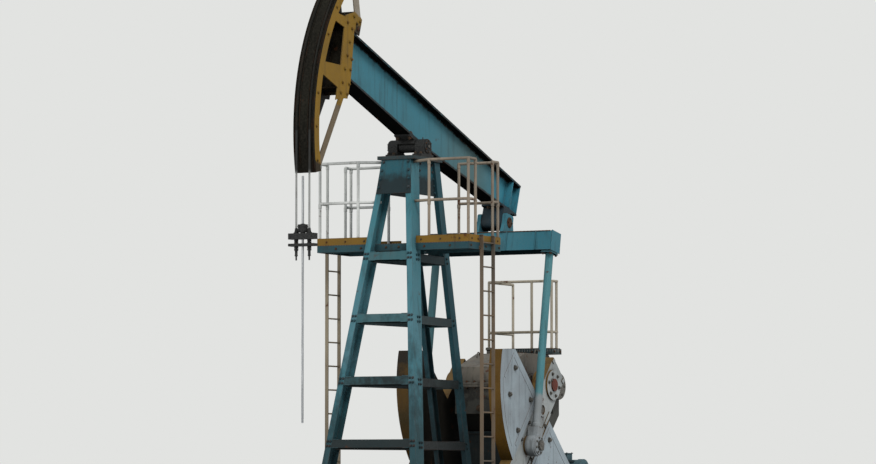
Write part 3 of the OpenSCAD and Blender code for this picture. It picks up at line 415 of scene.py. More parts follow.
def wire(name, low, high, greased=None):
    """Wire rope, with the strands' lay as diagonal ridges, and dark where it has lain on the head."""
    s = Shader(name)
    lay = s.node("ShaderNodeTexWave", {"Vector": s.stretch((1, 1, 0.45), (0.5, 0.5, 0)), "Scale": 34.0,
                                       "Distortion": 0.6, "Detail": 2.0}, out=1, bands_direction="Z")
    colour = s.mix(lay, low, high)
    colour = s.mix(s.drift(3.0, 4.0, 0.5, 0.75, 0.45), colour, s.mix(0.5, low, (84, 66, 50)))
    if greased:
        colour = s.mix(s.step(s.along(UP), greased, greased + 0.1, 0.0, 0.9), colour, (16, 15, 13))
    s.surface(colour, s.step(lay, 0.0, 1.0, 0.75, 0.6), 0.2, s.bump(lay, 0.6, 0.004), 0.2)


def chequer():
    """Anti-slip plate: two rows of raised lozenges, dull blue worn to steel on their tops."""
    s = Shader("deck_plate")
    rows = []
    for turn in (0.785, -0.785):
        cells = {"Vector": s.stretch((14, 34, 14), (0, 0, turn)), "Scale": 1.0, "Randomness": 0.0}
        rows.append(s.step(s.node("ShaderNodeTexVoronoi", cells, feature="F1"), 0.42, 0.25))
    lug = s.math("MAXIMUM", *rows)
    base = s.mix(s.drift(2.0, 5.0, 0.4, 0.7), (38, 56, 60), (52, 60, 58))
    colour, rough, normal = weather(s, base, rust=0.4, corner=0.6)
    colour = s.mix(s.times(lug, 0.45), colour, (128, 126, 120))
    s.surface(colour, rough, normal=s.bump(lug, 0.7, 0.004, normal))


def rubber():
    s = Shader("belt_rubber")
    scuff = s.noise(30.0, 5.0)
    colour = s.mix(s.step(scuff, 0.4, 0.75, 0.0, 0.6), (24, 24, 24), (66, 64, 60))
    s.surface(colour, s.step(scuff, 0.3, 0.7, 0.6, 0.85), 0.0, s.bump(scuff, 0.25, 0.002), 0.2)


FACE_GREY = ((158, 170, 175), (142, 150, 154))
RIM_YELLOW = ((112, 80, 24), (92, 66, 20))
RIM_FAR = ((100, 72, 26), (70, 56, 28))
HEAD_YELLOW = ((136, 102, 20), (122, 92, 24))
HEAD_RIM = ((126, 100, 46), (100, 78, 36))
# Painted shade on the faces that look towards a part's middle
INNER_SHADE = ((12, 11, 9), (20, 18, 14))
CRANK_GREY = ((168, 172, 170), (148, 152, 150))
CRANK_RIM = ((122, 92, 42), (102, 80, 44))
# The ties' faces that look along Y are a darker copy of their blue: painted shade
TIE_LIT_FRONT = ((54, 97, 103), (68, 99, 103))
TIE_SHADED_SIDE = ((30, 53, 58), (38, 55, 58))
LADDER_NEAR = ((116, 98, 78), (92, 84, 74))
HANDRAIL_NEAR = ((154, 140, 122), (128, 116, 102))

painted("blue_paint", (58, 118, 128), (80, 124, 134), rust=0.22, low=0.7, top=3.0)
painted("rear_blue", (30, 76, 86), (44, 84, 92), rust=0.22, low=0.7, top=3.0)
sided_paint("tie_blue", TIE_SHADED_SIDE, TIE_LIT_FRONT, TIE_SHADED_SIDE, rust=0.25, low=0.9, top=3.3, under=0.9)
painted("gusset_blue", (28, 86, 98), (38, 84, 92), rust=0.2, streaks=0.5, low=0.85, top=5.05, fade=0.16)
painted("frame_blue", (24, 66, 76), (40, 74, 80), rust=0.25, under=0.85)
beam_paint()
painted("equalizer_blue", (52, 114, 128), (64, 118, 130), rust=0.18, under=0.95)
pitman_paint()
painted("bearing_blue", (20, 44, 54), (30, 46, 52), rust=0.3, under=0.85)
painted("dark_blue_paint", (36, 54, 58), (52, 60, 60), rust=0.4, low=0.6)
painted("yellow_paint", (134, 98, 26), (114, 86, 28), rust=0.3, under=0.7, streaks=0.35)
painted("guard_paint", (84, 74, 50), (66, 60, 44), rust=0.4, low=0.6, top=2.4, fade=0.6)
sided_paint("head_near", HEAD_YELLOW, HEAD_RIM, INNER_SHADE, 1, head_marks, rust=0.2, under=0.6, streaks=0.3)
# The far side plate's edges and inner face are painted shade
sided_paint("head_far", HEAD_YELLOW, INNER_SHADE, INNER_SHADE, -1, rust=0.2)
# The back plate, seen between the side plates, is painted black as shade
painted("head_back_shade", (22, 20, 15), (34, 30, 20), rust=0.3, specular=0.05)
painted("black_face", (13, 13, 10), (24, 24, 19), rust=0.1, edge=0.4, gloss=0.7, specular=0.04)
sided_paint("weight_near", FACE_GREY, RIM_YELLOW, INNER_SHADE, rust=0.25, streaks=0.3, under=0.8,
            corner=0.15)
sided_paint("weight_far", FACE_GREY, RIM_FAR, INNER_SHADE, -1, weight_far_shadow, rust=0.3, streaks=0.35,
            under=0.85, corner=0.15)
sided_paint("crank_near_paint", CRANK_GREY, CRANK_RIM, INNER_SHADE, rust=0.35, streaks=0.4)
sided_paint("crank_far_paint", CRANK_GREY, CRANK_RIM, INNER_SHADE, -1, rust=0.35, streaks=0.4)
painted("tan_paint", (150, 138, 116), (134, 120, 100), LADDER_NEAR, rust=0.4, under=0.3)
painted("walk_rail_paint", (178, 168, 150), (152, 142, 124), rust=0.45, under=0.3)
painted("grey_rail_paint", (222, 222, 216), (200, 200, 194), HANDRAIL_NEAR, rust=0.4, under=0.3)
case_paint()
painted("motor_paint", (58, 90, 98), (72, 92, 96), rust=0.3)
painted("red_paint", (108, 46, 32), (88, 42, 32), rust=0.5)
bare_steel("worn_steel", (70, 68, 64), (122, 118, 110), 0.6, 0.45)
bare_steel("dark_steel", (30, 31, 31), (62, 62, 60), 0.2, 0.6, 0.3)
bare_steel("rusty_steel", (60, 48, 38), (86, 72, 58), 0.1, 0.75, 0.8)
bare_steel("rod_steel", (150, 152, 154), (196, 198, 200), 0.95, 0.18, 0.0, (90, 90, 3))
wire("rope_steel", (126, 126, 122), (190, 190, 186), 4.78)
wire("rope_greased", (12, 12, 10), (44, 42, 36))
rubber()
chequer()

MAT_NODES = {
    "dark_blue_paint": "base_rails base_cross_beams gearbox_pedestal tower_cap motor_bearers",
    "blue_paint": "tower_front_legs",
    "rear_blue": "tower_rear_legs",
    "tie_blue": "tower_ties",
    "gusset_blue": "tower_gussets",
    "frame_blue": "platform_frame",
    "deck_plate": "platform_deck walkway",
    "yellow_paint": "toe_boards",
    "grey_rail_paint": "platform_handrails",
    "tan_paint": "ladder_stiles ladder_rungs",
    "gearbox_paint": "gearbox_case gearbox_cover",
    "dark_steel": "saddle_bearings driven_pulley motor_pulley beam_saddle hanger_bars rod_clamp",
    "worn_steel": "brake_drum",
    "motor_paint": "motor",
    "belt_rubber": "drive_belts",
    "guard_paint": "belt_guard",
    "walk_rail_paint": "walkway_rails",
    "beam_blue": "walking_beam",
    "bearing_blue": "tail_bearing",
    "black_face": "head_face",
    "head_near": "head_side_near",
    "head_far": "head_side_far",
    "head_back_shade": "head_back",
    "rope_greased": "arc_ropes",
    "equalizer_blue": "equalizer",
    "pitman_blue": "pitman_near pitman_far",
    "red_paint": "crank_shaft",
    "crank_near_paint": "crank_near",
    "crank_far_paint": "crank_far",
    "weight_near": "counterweights_near",
    "weight_far": "counterweights_far",
    "rod_steel": "polished_rod",
    "rope_steel": "bridle_ropes",
}
for mat_name, node_names in MAT_NODES.items():
    for node_name in node_names.split():
        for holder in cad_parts[node_name].material_slots:
            holder.material = MATS[mat_name]


# Shapes

def arc(centre, r, first, last, count=16):
    """Points on a circle in the XZ plane, between two angles in degrees."""
    turns = [math.radians(first + (last - first) * k / count) for k in range(count + 1)]
    return [(centre[0] + r * math.cos(a), centre[1] + r * math.sin(a)) for a in turns]


class Piece:
    """Gathers shapes in one mesh, drawn in a body's own line and left in the resting frame."""

    def __init__(self, body="frame"):
        self.bm = bmesh.new()
        self.body = body
        self.at = LINES[body]

    def add(self, made, local):
        bmesh.ops.transform(self.bm, matrix=self.at @ local, verts=made["verts"])

    def box(self, low, high):
        low, high = Vector(low), Vector(high)
        local = Matrix.Translation((low + high) / 2) @ Matrix.Diagonal((*(high - low), 1))
        self.add(bmesh.ops.create_cube(self.bm, size=1), local)

    def bar(self, a, b, r, r2=None, n=16):
        """A round bar between two points, tapered where r2 is given."""
        a, b = Vector(a), Vector(b)
        local = Matrix.Translation((a + b) / 2) @ (b - a).to_track_quat("Z", "Y").to_matrix().to_4x4()
        self.add(bmesh.ops.create_cone(self.bm, cap_ends=True, segments=n, radius1=r,
                                       radius2=r if r2 is None else r2, depth=(b - a).length), local)

    def bolt(self, p, axis, r):
        """Washer, hexagon and a stub of thread, standing on a face along an axis."""
        p, axis = Vector(p), Vector(axis).normalized() * r
        self.bar(p, p + axis * 0.25, r * 1.9)
        self.bar(p + axis * 0.25, p + axis * 1.5, r * 1.5, n=6)
        self.bar(p + axis * 1.5, p + axis * 2.1, r * 0.8, r * 0.65, n=10)

    def bolts(self, xs, ys, zs, axis, r):
        """Bolts at each X, Y and Z; one place may be a plain number."""
        rows = [v if isinstance(v, (tuple, list)) else (v,) for v in (xs, ys, zs)]
        for p in product(*rows):
            self.bolt(p, axis, r)

    def circle_bolts(self, centre, ring, count, r, start=0.0):
        """Bolts on a circle about a Y axis."""
        x, y, z = centre
        for u, v in arc((x, z), ring, start, start + 360, count)[:count]:
            self.bolt((u, y, v), NEAR, r)

    def skin(self, rings, around=True, along=False, caps=False):
        """Faces from ring to ring, also round each ring, from the last to the first, and over the ends."""
        made = [[self.bm.verts.new(self.at @ Vector(p)) for p in ring] for ring in rings]
        count = len(made[0])
        for i in range(len(made) if along else len(made) - 1):
            a, b = made[i], made[(i + 1) % len(made)]
            for k in range(count if around else count - 1):
                self.bm.faces.new((a[k], a[(k + 1) % count], b[(k + 1) % count], b[k]))
        if caps:
            self.bm.faces.new(list(reversed(made[0])))
            self.bm.faces.new(made[-1])

    def prism(self, outline, y0, y1):
        """An outline of (X, Z) points, drawn out between two Y."""
        near, far = ([self.bm.verts.new(self.at @ Vector((x, y, z))) for x, z in outline] for y in (y1, y0))
        self.bm.faces.new(near)
        self.bm.faces.new(list(reversed(far)))
        for i in range(len(outline)):
            j = (i + 1) % len(outline)
            self.bm.faces.new((near[i], far[i], far[j], near[j]))

    def turned(self, profile, centre, n=48, close=True):
        """A profile of (radius, Y) points, turned about a Y axis through a centre (X, Z)."""
        x, z = centre
        spokes = arc((0, 0), 1, 0, 360, n)[:n]
        self.skin([[(x + r * c, y, z + r * s) for r, y in profile] for c, s in spokes], close, True)

    def ring(self, r0, r1, y0, y1, centre, n=48):
        self.turned([(r0, y0), (r1, y0), (r1, y1), (r0, y1)], centre, n)

    def tube(self, path, r, n=8, ripple=0.0):
        """A tube along a path of points, its ring carried along without twist."""
        points = [Vector(p) for p in path]
        side = (points[1] - points[0]).orthogonal()
        rings = []
        for i, p in enumerate(points):
            ahead = (points[min(i + 1, len(points) - 1)] - points[max(i - 1, 0)]).normalized()
            side = (side - ahead * side.dot(ahead)).normalized()
            other = ahead.cross(side)
            reach = r * (1 + ripple * (i % 2))
            rings.append([p + reach * (c * side + s * other) for c, s in arc((0, 0), 1, 0, 360, n)[:n]])
        self.skin(rings, caps=True)

    def weld(self, a, b, r=0.007, pitch=0.012):
        """A weld bead between two points, rippled along its length."""
        a, b = Vector(a), Vector(b)
        count = max(2, int((b - a).length / pitch))
        self.tube([a.lerp(b, i / count) for i in range(count + 1)], r, 6, 0.25)

    def stood(self, profile, foot, n=24):
        """A profile of (radius, height) points, turned about a line standing up from a foot."""
        kept = self.at
        self.at = kept @ Matrix.Translation(foot) @ Matrix.Rotation(math.radians(90), 4, "X")
        self.turned(profile, (0, 0), n, False)
        self.at = kept

    def both(self):
        """Doubles everything so far to the far side."""
        made = bmesh.ops.duplicate(self.bm, geom=self.bm.verts[:] + self.bm.edges[:] + self.bm.faces[:])
        verts = [g for g in made["geom"] if isinstance(g, bmesh.types.BMVert)]
        bmesh.ops.scale(self.bm, vec=(1, -1, 1), verts=verts)

    def done(self, name, mat, bevel=0.0, replaces=(), blend=None):
        bmesh.ops.recalc_face_normals(self.bm, faces=self.bm.faces[:])
        mesh = bpy.data.meshes.new(name)
        self.bm.to_mesh(mesh)
        self.bm.free()
        obj = bpy.data.objects.new(name, mesh)
        bpy.context.scene.collection.objects.link(obj)
        mesh.materials.append(MATS[mat])
        if bevel:
            mod = obj.modifiers.new("bevel", "BEVEL")
            mod.width = bevel
            mod.segments = 2
            mod.limit_method = "ANGLE"
        for poly in mesh.polygons:
            poly.use_smooth = True
        mesh.set_sharp_from_angle(angle=math.radians(35))
        if blend:
            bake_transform(obj)
        else:
            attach(obj, self.body)
        if replaces:
            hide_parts(*replaces)


def front_leg(z):
    """X and Y of the near front leg's middle at a height."""
    return FRONT_TOP[0] + FRONT_RUN * (CAP_Z - z), FRONT_TOP[1] + FRONT_SPLAY * (CAP_Z - z)


def rear_leg(z):
    return REAR_TOP[0] - REAR_RUN * (CAP_Z - z), REAR_TOP[1]


# Base and tower

def base_details():
    p = Piece()
    y = RAIL_Y + 0.046
    for x in (0.3, 1.4, -5.3, -4.5):
        p.box((x - 0.04, y - 0.028, 0.022), (x + 0.04, y + 0.028, 0.034))
        p.bar((x, y, 0.034), (x, y, 0.06), 0.024, n=6)
        p.bar((x, y, 0.06), (x, y, 0.11), 0.014, n=12)
    p.both()
    p.done("anchor_bolts", "worn_steel")

    p = Piece()
    side = RAIL_Y + 0.019
    top = BASE_H + 0.012
    p.box((SPLICE_X - 0.22, RAIL_Y + 0.007, 0.07), (SPLICE_X + 0.22, side, 0.33))
    p.box((SPLICE_X - 0.22, RAIL_Y - 0.06, BASE_H), (SPLICE_X + 0.22, RAIL_Y + 0.06, top))
    p.both()
    p.done("rail_splices", "dark_blue_paint", 0.003)

    p = Piece()
    xs = [SPLICE_X + dx for dx in (-0.17, -0.07, 0.07, 0.17)]
    p.bolts(xs, side, (0.12, 0.2, 0.28), NEAR, 0.011)
    p.bolts(xs, (RAIL_Y - 0.04, RAIL_Y + 0.04), top, UP, 0.011)
    for (x, y), dx, y0, y1 in ((front_leg(0.4), 0.1275, 0.08, 0.07), (rear_leg(0.4), 0.05625, 0.048, 0.048)):
        p.bolts((x - dx, x + dx), (y - y0, y + y1), 0.42, UP, 0.012)
    p.both()
    p.done("base_bolts", "rusty_steel")

    p = Piece()
    for x in (-3.2, -2.9, -2.6):
        p.box((x - 0.006, 0.385, 0.4), (x + 0.006, 0.4, 1.41))
    for z in (0.75, 1.1):
        p.box((-3.68, 0.385, z), (-2.42, 0.397, z + 0.012))
    p.both()
    p.done("pedestal_ribs", "dark_blue_paint")

    p = Piece()
    p.bolts((-3.6, -3.25, -2.85, -2.5), 0.388, 1.41, DOWN, 0.014)
    for y in (0.385, -0.495):
        p.weld((-3.69, y, 0.404), (-2.41, y, 0.404), 0.008)
    p.both()
    p.done("pedestal_bolts", "rusty_steel")


def tower_details():
    front_out = Vector((1, 0, FRONT_RUN)).normalized()
    rear_out = Vector((-1, 0, REAR_RUN)).normalized()
    bolts = Piece()
    welds = Piece()
    for z in TIES:
        for h in (z - 0.032, z + 0.032):
            x, y = front_leg(h)
            for dy in (-0.022, 0.022):
                bolts.bolt(Vector((x, y + dy, h)) + front_out * 0.1255, front_out, 0.01)
            bolts.bolts((x - 0.06, x), y + 0.0455, h, (0, 1, FRONT_SPLAY), 0.01)
            x, y = rear_leg(h)
            bolts.bolt(Vector((x, y - 0.01, h)) + rear_out * 0.0755, rear_out, 0.01)
            bolts.bolt((x + 0.02, y + 0.0355, h), NEAR, 0.01)
        x, y = front_leg(z)
        for dz in (-0.0575, 0.0575):
            spot = Vector((x - FRONT_RUN * dz, y - 0.047, z + dz)) + front_out * 0.122
            welds.weld(spot, spot - Vector((0, 0.1, 0)), 0.005)
    for z in (4.78, 4.9, 5.02, 5.14):
        x, y = front_leg(z)
        bolts.bolt(Vector((x, y + 0.012, z)) + front_out * 0.1375, front_out, 0.012)
    for t in (0.1, 0.3, 0.5, 0.7, 0.9):
        z = CAP_Z - GUSSET_H * t
        bolts.bolts((rear_leg(z)[0] + 0.11, front_leg(z)[0] - 0.165), REAR_TOP[1] + 0.0005, z, NEAR, 0.01)
    bolts.both()
    bolts.done("tower_bolts", "rear_blue")

    for z, lift, r in ((CAP_Z - 0.004, 0, 0.008), (0.42, 0.004, 0.009)):
        for (x, y), dx, dy in ((front_leg(z), 0.12, 0.05), (rear_leg(z), 0.07, 0.04)):
            welds.weld((x - dx, y + dy, z + lift), (x + dx, y + dy, z + lift), r)
    welds.both()
    welds.done("tower_welds", "blue_paint")


def saddle_details():
    p = Piece()
    p.turned([(0.062, 0.2855), (0.098, 0.2855), (0.096, 0.3), (0.062, 0.3)], (0, PIVOT_Z))
    for x in (-0.107, 0.1):
        p.box((x, 0.15, PIVOT_Z - 0.004), (x + 0.007, 0.275, PIVOT_Z + 0.004))
    p.both()
    p.done("saddle_covers", "dark_steel", 0.002)

    p = Piece()
    p.circle_bolts((0, 0.3, PIVOT_Z), 0.08, 6, 0.007, 30)
    p.bolts((-0.145, 0.145), (0.17, 0.255), CAP_TOP + 0.04, UP, 0.015)
    p.bar((0, 0.212, PIVOT_Z + 0.103), (0, 0.212, PIVOT_Z + 0.135), 0.008, 0.005, 8)
    p.both()
    p.done("saddle_bolts", "rusty_steel")


# Platform

def platform_details():
    inset = 0.028
    x0, x1, y1 = DECK_X[0] + inset, DECK_X[1] - inset, DECK_HALF - inset
    spots = [(x1, DECK_OPEN), (x1, y1), (0.26, y1), (x0, DECK_OPEN), (x0, y1), (-0.26, y1)]
    collar = [(0.021, -0.03), (0.0245, -0.026), (0.0245, 0.026), (0.021, 0.03)]
    p = Piece()
    for x, y in spots:
        for h in HANDRAILS:
            p.stood(collar, (x, y, DECK_Z + h - 0.035), 16)
        in_x = math.copysign(0.003, x)
        p.box((x - 0.029 - in_x, y - 0.045, DECK_Z), (x + 0.029 - in_x, y + 0.026, DECK_Z + 0.008))
    p.both()
    p.done("handrail_collars", "grey_rail_paint")

    p = Piece()
    for z in (DECK_Z + h for h in HANDRAILS):
        p.bar((x1, DECK_OPEN, z), (*front_leg(z), z), 0.02)
    p.both()
    p.done("handrail_links", "grey_rail_paint", 0.002)

    p = Piece()
    board, edge = DECK_Z + 0.045, DECK_Z - 0.05
    for x, y in spots:
        p.bolt((x, y - 0.036, DECK_Z + 0.008), UP, 0.006)
    for x, out in zip(DECK_X, (REAR, FRONT)):
        p.bolts(x, (0.45, 0.75, 1.05), board, out, 0.007)
        p.bolts(x, (0.1, 0.5, 0.9), edge, out, 0.009)
    p.bolts((-0.36, -0.22, 0.24, 0.42), DECK_HALF, board, NEAR, 0.007)
    p.bolts((-0.4, 0.0, 0.45), DECK_HALF, edge, NEAR, 0.009)
    p.both()
    p.done("platform_bolts", "rusty_steel")

    p = Piece()
    for x in (-0.175, 0.175):
        edge = math.copysign(0.008, x)
        for i in range(1, 13):
            p.bar((x - 1.25 * edge, 1.225, i * RUNG), (x - 1.9 * edge, 1.225, i * RUNG), 0.017, 0.013, 12)
        p.box((x - 0.03, 1.2, 0.0), (x + 0.03, 1.25, 0.01))
        p.box((x - 0.016, 1.2, DECK_Z + 0.1), (x + 0.016, 1.25, DECK_Z + 0.106))
        for z in (DECK_Z - 0.075, DECK_Z + 0.06):
            p.box((x + edge, 1.2, z - 0.025), (x + 4.5 * edge, 1.206, z + 0.025))
            p.bolt((x + 2.8 * edge, 1.206, z), NEAR, 0.007)
    p.both()
    p.done("ladder_fittings", "tan_paint")


# Gearbox and drive

def gearbox_cover():
    """The cover, whose front corner is planed off in a slope over the rounded edge."""
    x0, x1 = GEAR_X
    z0, top = SHAFT[1], GEAR_TOP
    p = Piece()
    outline = [(x0, z0)] + arc(SHAFT, NOTCH_R, 180, 0) + [(x1, z0)]
    outline += arc((x1 - COVER_R, top - COVER_R), COVER_R, 0, 30.6, 8)
    outline += [(x1 - COVER_FRONT, top), (x0 + COVER_REAR[0], top), (x0, z0 + COVER_REAR[1])]
    p.prism(outline, -GEAR_HALF, GEAR_HALF)
    y = GEAR_HALF + JOINT
    p.box((x0 - JOINT, -y, z0), (SHAFT[0] - NOTCH_R, y, z0 + JOINT))
    p.box((SHAFT[0] + NOTCH_R, -y, z0), (x1 + JOINT, y, z0 + JOINT))
    ring = arc(SHAFT, BOSS[0], 0, 180, 24) + arc(SHAFT, NOTCH_R, 180, 0)
    p.prism(ring, GEAR_HALF, GEAR_HALF + BOSS[1])
    p.prism(ring, -GEAR_HALF - BOSS[1], -GEAR_HALF)
    p.done("gearbox_cover_shell", "gearbox_paint", 0.004, ("gearbox_cover",))


def gearbox_details():
    gearbox_cover()

    shafts = ((INPUT[0], 0.125, 0.4, 0.04), (IDLER_X, 0.125, 0.4, 0.0), (SHAFT[0], 0.16, 0.47, 0.094))
    p = Piece()
    for x, r, y, bore in shafts:
        cap = [(bore, y), (r, y), (r, y + 0.018), (r * 0.7, y + 0.03), (bore, y + 0.03)]
        p.turned(cap, (x, SHAFT[1]), 48, bore > 0)
        if not bore:
            p.turned([(0.0001, y + 0.03), (r * 0.7, y + 0.03)], (x, SHAFT[1]), 48, False)
    for x, foot in ((-3.7, 1.72), (-3.15, 1.52), (-2.5, 1.52)):
        p.box((x - 0.009, 0.4, foot), (x + 0.009, 0.43, SHAFT[1] - JOINT))
    for x, top in ((-3.42, 2.56), (-2.62, 2.5)):
        p.box((x - 0.009, 0.4, SHAFT[1] + JOINT), (x + 0.009, 0.425, top))
    p.both()
    p.done("gearbox_caps_and_ribs", "gearbox_paint", 0.003)

    p = Piece()
    p.box((-3.36, -0.17, GEAR_TOP), (-2.86, 0.17, 2.604))
    p.box((-3.32, -0.13, 2.604), (-2.9, 0.13, 2.616))
    p.stood([(0.03, 0), (0.03, 0.05), (0.045, 0.055), (0.045, 0.09), (0.0001, 0.1)], (-2.95, -0.26, GEAR_TOP))
    for (x, z), y in product(((-2.7, 2.53), (-3.39, 2.575)), (-0.3, 0.3)):
        p.tube([(x + 0.05 * u, y, z + 0.075 * v) for u, v in arc((0, 0), 1, 0, 180, 10)], 0.011)
    p.done("gearbox_hatch", "gearbox_paint", 0.003)

    p = Piece()
    xs = [x for x in (-3.9 + i * 0.13 for i in range(14)) if abs(x - SHAFT[0]) > 0.16]
    for z, out in ((SHAFT[1] + JOINT, UP), (SHAFT[1] - JOINT, DOWN)):
        p.bolts(xs, 0.418, z, out, 0.012)
        p.bolts((GEAR_X[0] - 0.018, GEAR_X[1] + 0.018), (0.08, 0.2), z, out, 0.012)
    p.bolts((SHAFT[0] - 0.16, SHAFT[0] + 0.16), 0.44, SHAFT[1] + 0.1, UP, 0.017)
    for x, y, r in ((INPUT[0], 0.418, 0.105), (IDLER_X, 0.418, 0.105), (SHAFT[0], 0.488, 0.14)):
        p.circle_bolts((x, y, SHAFT[1]), r, 8, 0.009, 22.5)
    p.bolts((-3.34, -3.22, -3.11, -2.99, -2.88), 0.15, 2.604, UP, 0.008)
    p.both()
    p.bolt((GEAR_X[1], 0.0, 1.78), FRONT, 0.026)
    p.bolt((-3.0, 0.4, 1.56), NEAR, 0.02)
    p.done("gearbox_bolts", "rusty_steel")

    p = Piece()
    p.box((-2.4, 0.4, 1.78), (-2.36, 0.412, 1.98))
    p.bar((-2.38, 0.412, 1.8), (-2.38, 0.412, 1.96), 0.011)
    p.done("oil_gauge", "worn_steel", 0.002)


def grooved(p, centre, r, hub):
    """A belt pulley: rim with vee grooves, and a hub."""
    y0, y1 = -PULLEY_OUT, -PULLEY_IN
    pitch = (y1 - y0) / BELTS
    profile = [(r - 0.035, y0), (r, y0)]
    for i in range(BELTS):
        for share, depth in ((0.12, 0), (0.35, 0.014), (0.65, 0.014), (0.88, 0)):
            profile.append((r - depth, y0 + (i + share) * pitch))
    profile += [(r, y1), (r - 0.035, y1)]
    p.turned(profile, centre, 96)
    p.ring(hub * 0.5, hub, y0 + 0.004, y1 - 0.004, centre)


def belt_loop(r0, r1, count0, count1):
    """Points where the belts lie round the driven pulley and the motor's, on circles of two radii."""
    way = Vector(MOTOR) - Vector(INPUT)
    turn = math.degrees(math.atan2(way.y, way.x))
    opened = math.degrees(math.acos((DRIVEN_R - DRIVER_R) / way.length))
    first = arc(INPUT, r0, turn + opened, turn + 360 - opened, count0)
    return first, arc(MOTOR, r1, turn - opened, turn + opened, count1)


def drive_details():
    p = Piece()
    grooved(p, INPUT, DRIVEN_R, 0.085)
    for i in range(6):
        p.at = line((INPUT[0], 0, INPUT[1]), 30 + 60 * i)
        p.box((0.07, -PULLEY_OUT + 0.025, -0.035), (0.38, -PULLEY_IN - 0.025, 0.035))
    p.at = Matrix()
    x, z = INPUT
    p.bar((x, -PULLEY_IN, z), (x, -0.435, z), 0.038)
    p.bar((x, -PULLEY_OUT - 0.004, z), (x, -PULLEY_IN, z), 0.04)
    p.done("driven_pulley_wheel", "dark_steel", replaces=("driven_pulley",))

    p = Piece()
    grooved(p, MOTOR, DRIVER_R, 0.04)
    p.ring(0.04, 0.07, -PULLEY_OUT + 0.02, -PULLEY_IN - 0.02, MOTOR, 64)
    x, z = MOTOR
    p.bar((x, -PULLEY_OUT - 0.002, z), (x, -PULLEY_IN, z), 0.028)
    p.done("motor_pulley_wheel", "dark_steel", replaces=("motor_pulley",))

    p = Piece()
    pitch = (PULLEY_OUT - PULLEY_IN) / BELTS
    for i in range(BELTS):
        y = (i + 0.5) * pitch - PULLEY_OUT
        sides = []
        for dr, dy in ((-0.004, -0.0045), (0.011, -0.0085), (0.011, 0.0085), (-0.004, 0.0045)):
            first, second = belt_loop(DRIVEN_R + dr, DRIVER_R + dr, 40, 16)
            sides.append([(u, y + dy, v) for u, v in first + second])
        p.skin(list(zip(*sides)), along=True)
    p.done("vee_belts", "belt_rubber", replaces=("drive_belts",))

    p = Piece()
    for i in range(36):
        a = 2 * math.pi * i / 36
        # No fins where the feet and the terminal box are
        if math.sin(a) < -0.62 or abs(math.cos(a)) < 0.5 and math.sin(a) > 0:
            continue
        p.at = line((x, 0, z), 10 * i)
        p.box((0.185, -0.25, -0.003), (0.207, 0.22, 0.003))
    p.at = Matrix()
    for n, profile in ((64, [(0.19, -0.29), (0.198, -0.285), (0.198, -0.255), (0.19, -0.25)]),
                       (48, [(0.06, -0.31), (0.1, -0.305), (0.16, -0.29)]),
                       (64, [(0.19, 0.25), (0.2, 0.25), (0.2, 0.33), (0.16, 0.352), (0.02, 0.352)])):
        p.turned(profile, MOTOR, n, False)
    p.box((x - 0.1, -0.1, z + 0.28), (x + 0.1, 0.1, z + 0.292))
    p.bar((x + 0.09, 0, z + 0.22), (x + 0.125, 0, z + 0.22), 0.02)
    p.done("motor_fins_and_cowl", "motor_paint", 0.0015)

    p = Piece()
    for r in (0.06, 0.1, 0.135):
        for u, v in arc(MOTOR, r, 300 * r, 300 * r + 360, 6)[:6]:
            p.bar((u, 0.352, v), (u, 0.3535, v), 0.013, n=12)
    p.done("cowl_slots", "dark_steel")

    p = Piece()
    p.bolts((x - 0.12, x + 0.12), (-0.19, 0.19), 0.725, UP, 0.011)
    p.bolts((x - 0.276, x + 0.276), (-0.17, 0.17), 0.59, UP, 0.01)
    p.bolts((x - 0.085, x + 0.085), (-0.085, 0.085), z + 0.292, UP, 0.005)
    p.done("motor_bolts", "rusty_steel")


def guard_details():
    """The belt guard's stiffening bars, bearing rings and bolts, on its outer face."""
    y = -PULLEY_OUT - 0.03
    a, b = Vector(INPUT), Vector(MOTOR)
    ahead = (b - a).normalized()
    across = Vector((-ahead.y, ahead.x))
    p = Piece()
    strips = [(a.lerp(b, t) - across * reach, a.lerp(b, t) + across * reach)
              for t, reach in ((0.12, 0.40), (0.4, 0.31), (0.68, 0.21))]
    for start, end in strips + [(a - ahead * 0.38, b + ahead * 0.1)]:
        way = (end - start).normalized()
        side = Vector((-way.y, way.x)) * 0.02
        p.prism([start - side, end - side, end + side, start + side], y - 0.006, y)
    for centre, r in ((a, 0.09), (b, 0.05)):
        p.ring(r, 0.13 if centre is a else 0.08, y - 0.012, y - 0.004, centre)
    p.done("guard_bars", "guard_paint", 0.002)

    p = Piece()
    first, second = belt_loop(0.435, 0.13, 12, 4)
    for start, end in ((second[-1], first[0]), (first[-1], second[0])):
        first += [Vector(start).lerp(Vector(end), k / 6) for k in range(1, 6)]
    for x, z in first + second:
        p.bolt((x, y, z), FAR, 0.007)
    p.done("guard_bolts", "rusty_steel")


def brake_details():
    x, z = INPUT
    p = Piece()
    p.ring(0.1905, 0.1965, 0.462, 0.518, INPUT, 72)
    p.box((x - 0.03, 0.47, z + 0.19), (x + 0.03, 0.51, z + 0.235))
    p.bar((x + 0.02, 0.49, z + 0.215), (x + 0.33, 0.49, z + 0.19), 0.011)
    p.bar((x + 0.33, 0.43, z + 0.19), (x + 0.33, 0.5, z + 0.19), 0.016)
    p.done("brake_band", "dark_steel", 0.001)

    p = Piece()
    p.turned([(0.04, 0.53), (0.09, 0.53), (0.085, 0.536), (0.04, 0.536)], INPUT)
    p.circle_bolts((x, 0.53, z), 0.14, 6, 0.01)
    p.done("brake_hub", "worn_steel")


